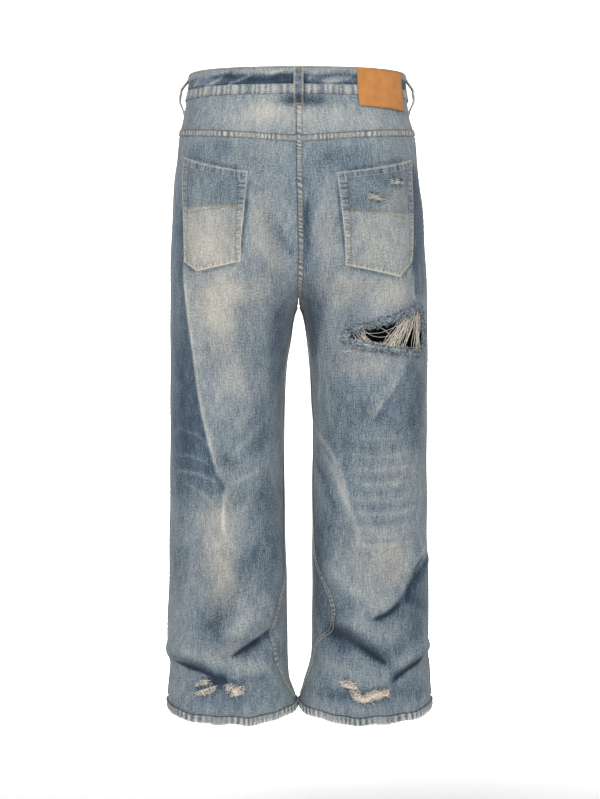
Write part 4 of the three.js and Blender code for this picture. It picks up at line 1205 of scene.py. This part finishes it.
def strip(name, side, along, z, width, slot_name, lift=0.9 * MM, tone=0.0, depth=0.35 * MM):
    """A flat, puckered ridge of folded cloth along a run of places, with painted shadow darkest along one
    edge.
    """
    side, along, z = (np.asarray(grid) for grid in np.broadcast_arrays(side, along, z))
    go_along, go_z = np.gradient(along), np.gradient(z)
    pace = np.hypot(go_along, go_z)
    at = np.cumsum(pace)
    wide = np.linspace(-0.5, 0.5, 9)[:, None] * width
    grid_along = along[None] - go_z / pace * wide
    grid_z = z[None] + go_along / pace * wide
    round_shape = np.sqrt(np.clip(1 - (2.06 * wide / width) ** 4, 0.02, 1))
    uneven = 2.2 * np.sin(at * 61) + 1.4 * np.sin(at * 143)
    rope = np.sin((at + wide * 0.25) * 2 * math.pi / PUCKER + uneven)
    rope = rope * (0.7 + 0.5 * np.sin(at * 87 + 1))
    shape = lift + CROWN * round_shape + depth * rope * round_shape
    # Painted shadow beside both edges of the ridge, heavier on one side.
    edge = np.exp(-(((np.abs(wide) - width / 2) / (1.3 * MM)) ** 2))
    shade = tone + 0.04 + 0.22 * rope * round_shape - edge * np.where(wide > 0, 0.55, 0.16)
    cream = 0.1 + 0.14 * np.clip(rope, 0, 1) * round_shape
    piece = cloth_object(name, side[None], grid_along, grid_z, shape, 0.9 * MM, [DENIM], shade, cream)
    return settle(piece, slot_name)


def paired_rows(side, along, z, apart, lift):
    """Stitches in two rows beside a run of places."""
    go_along, go_z = np.gradient(along), np.gradient(z)
    pace = np.hypot(go_along, go_z)
    rows = []
    for shift in (-apart / 2, apart / 2):
        rows.append(stitch_paths(side, along - go_z / pace * shift, z + go_along / pace * shift, lift))
    return rows


def yoke_seam_run(side, count=160):
    share = np.linspace(0.0, 1, count)
    z = yoke_seam(share) + 2 * MM
    along = back_column(side, share, z)
    return along, z


def seat_run(count=200):
    """The centre back seam drifts to the wearer's right as it goes down."""
    z = np.linspace(BAND_BOTTOM - 2 * MM, CROTCH_Z + 12 * MM, count)
    return z, -1 * MM - 3.2 * MM * ease((-z - 100 * MM) / (180 * MM))


def inside_run(side, count=300):
    z = np.linspace(CROTCH_Z - 6 * MM, HEM_Z + HEM_HEIGHT + 2 * MM, count)
    return half_length(side, BACK, z) - follow(INSIDE_SEAM[side], z) - 4.2 * MM, z


def out_run(count=300):
    z = np.linspace(YOKE_SIDE_Z - 6 * MM, HEM_Z + HEM_HEIGHT + 2 * MM, count)
    return np.full(count, -SIDE_SEAM + 4 * MM), z


def felled_seams():
    """Strips and stitch rows over the yoke, seat, inside and side seams."""
    rows, pale = [], []
    for side, name in SIDES:
        along, z = yoke_seam_run(side)
        strip(f"yoke_seam_{name}", side, along, z, 10.5 * MM, "denim")
        rows += paired_rows(side, along, z, 7.4 * MM, 1.7 * MM)
        along, z = inside_run(side)
        strip(f"inside_seam_{name}", side, along, z, 8 * MM, "denim", depth=0.3 * MM)
        pale += paired_rows(side, along, z, 5.6 * MM, 1.6 * MM)
        along, z = out_run()
        strip(f"side_seam_{name}", side, along, z, 6 * MM, "denim", depth=0.3 * MM, tone=0.04)
    z, across = seat_run()
    along = half_length(RIGHT, BACK, z) + across
    strip("seat_seam", RIGHT, along, z, 9.5 * MM, "denim", lift=1.1 * MM)
    rows += paired_rows(RIGHT, along, z, 6.6 * MM, 2.0 * MM)
    return rows, pale


# ---------------------------------------------------------------- hems
def hem_band(side, name):
    """The turned-up hem, right round the leg. Returns its row of stitches."""
    back = half_length(side, BACK, np.full(1, HEM_Z))[0]
    front = half_length(side, FRONT, np.full(1, HEM_Z))[0]
    count = int((back + front) / (1.9 * MM))
    along = np.linspace(-front, back, count)[None, :]
    v = np.linspace(0, 1, 12)[:, None]
    bottom = hem_z(side, along)
    ragged = DICE.normal(0, 0.6 * MM, count) + 0.7 * MM * np.sin(along[0] * 90)
    ragged[-1] = ragged[0]
    z = bottom + mix(HEM_HEIGHT, -1.2 * MM, v) + ragged * ease((v - 0.75) / 0.25)
    uneven = 2.4 * np.sin(along * 37) + 1.5 * np.sin(along * 101)
    rope = np.sin(along * 2 * math.pi / (9 * MM) + v * 0.8 + uneven)
    rope = rope * (0.65 + 0.5 * np.sin(along * 73 + 2))
    body = np.sqrt(np.clip(1 - (2 * v - 1) ** 6, 0, 1))
    lift = 0.9 * MM + 1.3 * MM * body + 0.5 * MM * rope * body
    worn = ease((v - 0.78) / 0.2)
    dots = np.clip(np.sin(along * 2 * math.pi / (5.3 * MM) + 2 * np.sin(along * 51)), 0, 1) ** 3
    dots = dots * (0.5 + 0.5 * np.sin(along * 29 + 1)) * ease((v - 0.5) / 0.25)
    upper_line = np.exp(-(((v - 0.06) / 0.1) ** 2))
    tone = 0.08 + 0.28 * rope * body + 0.3 * worn + 0.8 * dots - 0.42 * upper_line
    cream = 0.1 + 0.45 * worn + 0.4 * dots
    side_grid = np.full(z.shape, side)
    piece = cloth_object(f"hem_{name}", side_grid, np.broadcast_to(along, z.shape), z, lift, 3.2 * MM,
                         [DENIM, INSIDE_SHADE], tone, cream)
    settle(piece, "denim")
    line_z = hem_z(side, along[0]) + HEM_HEIGHT - 2.6 * MM
    return stitch_paths(side, along[0], line_z, 2.6 * MM)


# ---------------------------------------------------------------- frayed edges and bared threads
def laid_thread(side, points, lift, wave=0.6 * MM, count=12):
    """A loose thread over the cloth through a few (across, z) points in millimetres."""
    route = [(along_at(side, BACK, x * MM, z * MM), z * MM) for x, z in points]
    route = smooth_route(route, count) + DICE.normal(0, wave, (count, 2))
    point, _ = surface(side, route[:, 0], route[:, 1], lift)
    return point


def fibres(side, edge, count, inward, outward, length, lift):
    """Short curly fibres along an edge of (along, z) points, from "inward" to "outward" of it."""
    at = np.append(0, np.cumsum(np.linalg.norm(np.diff(edge, axis=0), axis=1)))
    spots = DICE.uniform(0, at[-1], count)
    here = np.stack([np.interp(spots, at, edge[:, k]) for k in range(2)], axis=-1)
    after = np.stack([np.interp(spots + MM, at, edge[:, k]) for k in range(2)], axis=-1)
    run = after - here
    run /= np.linalg.norm(run, axis=1, keepdims=True) + 1e-9
    away = np.stack([run[:, 1], -run[:, 0]], axis=-1)
    start = here + away * DICE.uniform(-inward, outward, (count, 1))
    turn = DICE.normal(0, 0.9, (count, 1)) + np.where(DICE.random((count, 1)) < 0.6, math.pi, 0)
    heading = away * np.cos(turn) + run * np.sin(turn)
    size = np.abs(DICE.normal(length, length / 3, (count, 1)))
    curl = DICE.normal(0, 0.35, (count, 1)) * size
    t = np.linspace(0, 1, 5)[:, None, None]
    sideways = np.stack([-heading[:, 1], heading[:, 0]], axis=-1)
    route = start + heading * size * t + sideways * curl * t * (1 - t) * 4
    raised = lift * DICE.uniform(0.3, 1.6, count) * (0.3 + t[..., 0])
    point, _ = surface(side, route[..., 0], route[..., 1], raised)
    return np.swapaxes(point, 0, 1)


def closed_edge(outline):
    """An outline's points, once round and closed, turned so that "away" of it is outside."""
    closed = np.vstack([outline, outline[:1]])
    x, y = closed[:, 0], closed[:, 1]
    turns_left = np.sum(x[:-1] * y[1:] - x[1:] * y[:-1]) > 0
    return closed if turns_left else closed[::-1]


def frayed_rim(name, side, outline, width):
    """A soft band of loosened blue cloth round a hole."""
    edge = closed_edge(outline)
    run = np.gradient(edge, axis=0)
    run /= np.linalg.norm(run, axis=1, keepdims=True) + 1e-9
    away = np.stack([run[:, 1], -run[:, 0]], axis=-1)
    offsets = np.linspace(-0.12, 1, 7)[:, None, None] * width
    grid = edge + away * offsets * (0.8 + 0.3 * np.sin(np.arange(len(edge)) * 0.9))[:, None]
    worn = (1 - np.linspace(-0.12, 1, 7)[:, None]).clip(0, 1)
    fuzzy = DICE.normal(0, 0.22 * MM, grid.shape[:2]) * worn
    lift = 0.5 * MM + 0.9 * MM * np.sin(math.pi * worn * 0.8) + fuzzy
    lift[:, -1] = lift[:, 0]
    tone = 0.1 * worn + DICE.normal(0, 0.42, grid.shape[:2]) * worn
    piece = cloth_object(name, np.full(lift.shape, side), grid[..., 0], grid[..., 1], lift, 0.8 * MM, [DENIM],
                         tone, -0.3 * worn)
    return settle(piece, "denim")


def rip_threads():
    """The weft left across the rip: steep and crowded at its outer end, and slack along its lower edge."""
    xs = np.array([x for x, _, _ in RIP], float)
    tops = np.array([top for _, top, _ in RIP], float)
    bottoms = np.array([bottom for _, _, bottom in RIP], float)
    paths = []
    for _ in range(46):
        x = mix(158, 198, DICE.beta(1.5, 1.1))
        drift = DICE.uniform(10, 56) * ease((x - 146) / 40)
        top, bottom = np.interp(x, xs, tops) + 2, np.interp(x - drift, xs, bottoms) - 2
        middle = (x - drift * DICE.uniform(0.3, 0.6), mix(top, bottom, DICE.uniform(0.4, 0.6)))
        lift = 0.5 * MM * DICE.normal(0.6, 1.4)
        paths.append(laid_thread(RIGHT, [(x, top), middle, (x - drift, bottom)], lift, 0.5 * MM))
    for _ in range(12):
        x = DICE.uniform(184, 200)
        foot = x - DICE.uniform(-2, 14)
        points = [(x, np.interp(x, xs, tops) + 2), (x - 2, -398), (foot, np.interp(foot, xs, bottoms) - 2)]
        paths.append(laid_thread(RIGHT, points, 0.5 * MM, 0.6 * MM))
    for _ in range(74):
        x = DICE.uniform(78, 168)
        reach = DICE.uniform(14, 32)
        points = [(place, np.interp(place, xs, bottoms) + DICE.uniform(-2, 5.5))
                  for place in (x, x + reach / 2, x + reach)]
        paths.append(laid_thread(RIGHT, points, 0.4 * MM * DICE.normal(0.8, 0.8), 0.4 * MM))
    for _ in range(14):
        x = DICE.uniform(82, 104)
        points = [(x, np.interp(x, xs, tops) - 1), (x + DICE.uniform(4, 14), -412),
                  (x + DICE.uniform(8, 30), -424)]
        paths.append(laid_thread(RIGHT, points, 0.3 * MM, 0.4 * MM))
    return paths


def long_threads():
    """Thin threads across the dark part of the rip and a long loose one at its inner tip."""
    routes = [
        ([(92, -401), (110, -405), (132, -404), (152, -396), (170, -388)], 0.2 * MM),
        ([(100, -398), (118, -409), (138, -411), (160, -402)], 0.1 * MM),
        ([(126, -393), (140, -402), (150, -412)], 0.2 * MM),
        ([(104, -428), (88, -433), (72, -434), (63, -440), (63, -452)], 1.4 * MM),
        ([(84, -431), (74, -436), (68, -444)], 1.3 * MM),
        ([(186, -372), (180, -400), (168, -428)], 0.9 * MM),
    ]
    return [laid_thread(RIGHT, route, lift, 0.25 * MM, 20) for route, lift in routes]


# Worn spots: side, a route of (across, z) in millimetres, half height, number of threads, colour.
WORN_SPOTS = [
    (LEFT, [(164, -972), (154, -966), (143, -972)], 3.4, 34, "peach"),
    (LEFT, [(163, -985), (150, -982), (136, -975)], 4.0, 54, "peach"),
    (LEFT, [(113, -971), (101, -981), (88, -974)], 7.0, 100, "peach"),
    (RIGHT, [(72, -968), (84, -972), (96, -982)], 7.0, 90, "peach"),
    (RIGHT, [(88, -984), (106, -993), (128, -985), (148, -984)], 7.4, 190, "peach"),
    (RIGHT, [(149, -162), (158, -161), (167, -162)], 5.0, 34, "white"),
    (RIGHT, [(114, -187), (124, -188), (134, -190)], 5.6, 46, "white"),
]


def worn_spot(spot, on_pocket):
    """Bared level threads over a worn spot, and the blue fuzz that is left round it."""
    side, points, half_height, count, _ = spot
    route = smooth_route([(along_at(side, BACK, x * MM, z * MM), z * MM) for x, z in points], 60)
    bared = []
    raised = (1.5 if on_pocket else 0.4) * MM
    for _ in range(count):
        spot_share = DICE.uniform(0.06, 0.94)
        middle = route[int(spot_share * 59)]
        rise = DICE.uniform(-1, 1) * half_height * MM * math.sin(math.pi * mix(0.2, 0.8, spot_share))
        reach = DICE.uniform(2.5, 9) * MM
        t = np.linspace(-1, 1, 9)
        slope = DICE.normal(0.12, 0.14)
        line_along = middle[0] + t * reach
        line_z = middle[1] + rise + t * reach * slope - 0.5 * MM * t * t * DICE.normal(1, 1)
        point, _ = surface(side, line_along, line_z, raised + DICE.uniform(0, 1.1) * MM * (1 - t * t * 0.8))
        bared.append(point)
    fuzz = []
    for way in (-1, 1):
        border = route.copy()
        border[:, 1] += way * half_height * MM * (0.35 + 0.65 * np.sin(math.pi * np.linspace(0.08, 0.92, 60)))
        fuzz.append(fibres(side, border, 40 + count, 2.2 * MM, 2.2 * MM, 3.4 * MM, raised + 0.9 * MM))
    return bared, np.concatenate(fuzz)


# ---------------------------------------------------------------- building everything
def joined_tubes(name, bundles, radius, material, slot_name, sides=4):
    paths = np.concatenate(bundles) if bundles[0].ndim == 3 else np.array(bundles)
    return settle(tubes(name, paths, radius, material, sides), slot_name)


def sheets():
    """Every flat-cut sheet but the hems and belt loops."""
    for side, name in SIDES:
        back_panel(side, name)
        front_panel(side, name)
        pocket_facing(side, name)
        yoke(side, name)
        back_pocket(side, name)
    waistband()
    fly_flap()
    leather_patch()


def front_rows():
    """Stitch rows of the front: along each pocket mouth, down the fly's curve and beside the waist seam."""
    rows = []
    t = np.linspace(0, 1, 120)
    for side in (LEFT, RIGHT):
        share = SCOOP_WIDTH * np.sin(t * math.pi / 2)
        for drop in (3 * MM, 8 * MM):
            z = pocket_mouth(share) - drop
            rows.append(stitch_paths(side, front_column(side, share, z), z, 0.5 * MM))
    top, foot = BAND_BOTTOM - FRONT_DIP - 3 * MM, -208 * MM
    for inset in (33 * MM, 27 * MM):
        z = mix(top, foot, np.minimum(t * 1.15, 1))
        turn = np.clip((z - foot) / (50 * MM), 0, 1)
        width = inset * np.sqrt(np.clip(1 - (1 - turn) ** 2, 0.01, 1))
        rows.append(stitch_paths(LEFT, -(half_length(LEFT, FRONT, z) - width), z, 1.9 * MM))
    return rows


def front_seam():
    """The ridge that joins the front panels from the fly down to the crotch. Returns its stitches."""
    z = np.linspace(-205 * MM, CROTCH_Z + 14 * MM, 110)
    along = -half_length(RIGHT, FRONT, z) + 2 * MM
    strip("front_seam", RIGHT, along, z, 9 * MM, "denim", lift=0.8 * MM)
    return paired_rows(RIGHT, along, z, 6.4 * MM, 1.6 * MM)


sheets()
front_seam_rows = front_seam()
loop_rows = belt_loops()
seam_rows, pale_rows = felled_seams()
hem_rows = [hem_band(side, name) for side, name in SIDES]
pocket_rows, arc_rows = [], []
for side in (LEFT, RIGHT):
    rows, arcs = pocket_stitches(side)
    pocket_rows += rows
    arc_rows += arcs
tan_rows = seam_rows + arc_rows + waistband_stitches() + front_rows() + front_seam_rows
joined_tubes("loop_stitches", loop_rows, THREAD, TAN_THREAD, "thread_tan")
joined_tubes("seam_stitches", tan_rows, THREAD, TAN_THREAD, "thread_tan")
joined_tubes("pale_stitches", pale_rows + pocket_rows + hem_rows, THREAD * 0.85, PALE_THREAD, "thread_cream")
rip_edge = closed_edge(RIP_EDGE)
frayed_rim("rip_rim", RIGHT, RIP_EDGE, 6.5 * MM)
joined_tubes("rip_tufts", [fibres(RIGHT, rip_edge, 1300, 3 * MM, 6.5 * MM, 4.0 * MM, 1.8 * MM)],
             0.7 * MM, BLUE_FRAY, "denim", sides=3)
joined_tubes("rip_fibres_blue", [fibres(RIGHT, rip_edge, 1500, 3 * MM, 8 * MM, 5.0 * MM, 2.2 * MM)],
             0.36 * MM, BLUE_FRAY, "denim", sides=3)
joined_tubes("rip_fibres_white", [fibres(RIGHT, rip_edge, 260, 2 * MM, 5 * MM, 4.5 * MM, 1.6 * MM)],
             0.2 * MM, CREAM_THREAD, "thread_cream", sides=3)
joined_tubes("rip_weft_threads", rip_threads(), 0.34 * MM, CREAM_THREAD, "thread_cream")
joined_tubes("rip_long_threads", long_threads(), 0.36 * MM, CREAM_THREAD, "thread_cream")
bare = {"peach": [], "white": []}
fuzz = []
for spot in WORN_SPOTS:
    *_, colour = spot
    threads, blue = worn_spot(spot, colour == "white")
    bare[colour] += threads
    fuzz.append(blue)
joined_tubes("hem_bared_threads", bare["peach"], 0.52 * MM, PEACH_THREAD, "thread_cream")
joined_tubes("pocket_bared_threads", bare["white"], 0.36 * MM, CREAM_THREAD, "thread_cream")
joined_tubes("worn_spot_fuzz", fuzz, 0.45 * MM, BLUE_FRAY, "denim", sides=3)

button = bpy.data.objects["waist_button"]
button.data.materials.clear()
button.data.materials.append(BRASS)


# ---------------------------------------------------------------- pieces on the back of each leg, gathered but not used
RIP_THREADS = ["rip_rim", "rip_tufts", "rip_fibres_blue", "rip_fibres_white", "rip_weft_threads",
               "rip_long_threads"]


def declare_cloth():
    for name in ("left", "right"):
        on_back = [f"inside_seam_{name}", f"side_seam_{name}"]
        if name == "right":
            on_back += ["seat_seam", *RIP_THREADS]


declare_cloth()


# ---------------------------------------------------------------- floor, light and camera
def stage_floor():
    """A pale floor well below the jeans that sweeps up far beyond their front."""
    reach, floor_z, back_y, bend, wall_top = 16.0, -1.32, -8.0, 2.0, 9.0
    turn = np.linspace(0, math.pi / 2, 16)
    ys = np.concatenate([[reach], back_y - bend * np.sin(turn), [back_y - bend]])
    zs = np.concatenate([[floor_z], floor_z + bend * (1 - np.cos(turn)), [wall_top]])
    verts = [(x, y, z) for x in (-reach, reach) for y, z in zip(ys, zs)]
    count = len(ys)
    faces = [(k, k + count, k + count + 1, k + 1) for k in range(count - 1)]
    mesh = bpy.data.meshes.new("floor")
    mesh.from_pydata(verts, [], faces)
    mesh.polygons.foreach_set("use_smooth", np.ones(len(faces), bool))
    material, _, shader = new_material("pale_floor", 0.9)
    shader.inputs["Base Color"].default_value = (0.92, 0.92, 0.92, 1)
    mesh.materials.append(material)
    floor = bpy.data.objects.new("floor", mesh)
    bpy.context.scene.collection.objects.link(floor)


def area_light(name, place, target, size, power):
    data = bpy.data.lights.new(name, "AREA")
    data.size = size
    data.energy = power
    light = bpy.data.objects.new(name, data)
    light.location = place
    aim = Vector(target) - Vector(place)
    light.rotation_euler = aim.to_track_quat("-Z", "Y").to_euler()
    bpy.context.scene.collection.objects.link(light)


def soft_studio():
    world = bpy.data.worlds.new("white_room")
    world.use_nodes = True
    world.node_tree.nodes["Background"].inputs["Color"].default_value = (1, 1, 1, 1)
    world.node_tree.nodes["Background"].inputs["Strength"].default_value = 0.49
    bpy.context.scene.world = world
    area_light("key", (0.9, 3.0, 1.7), (0, 0, -0.5), 1.2, 68)
    area_light("fill", (-1.6, 3.2, -0.4), (0, 0, -0.6), 1.6, 20)
    area_light("backdrop_light", (0, -3.2, 3.4), (0, -9.4, -0.4), 5.0, 900)
    bpy.context.scene.view_settings.view_transform = "Standard"


def camera():
    data = bpy.data.cameras.new("camera")
    data.sensor_fit = "HORIZONTAL"
    data.sensor_width = 36
    data.lens = 120.75
    eye = bpy.data.objects.new("camera", data)
    eye.location = (-0.0024, 3.315, -0.511)
    eye.rotation_euler = (math.radians(90), 0, math.radians(180))
    bpy.context.scene.collection.objects.link(eye)
    bpy.context.scene.camera = eye


stage_floor()
soft_studio()
camera()
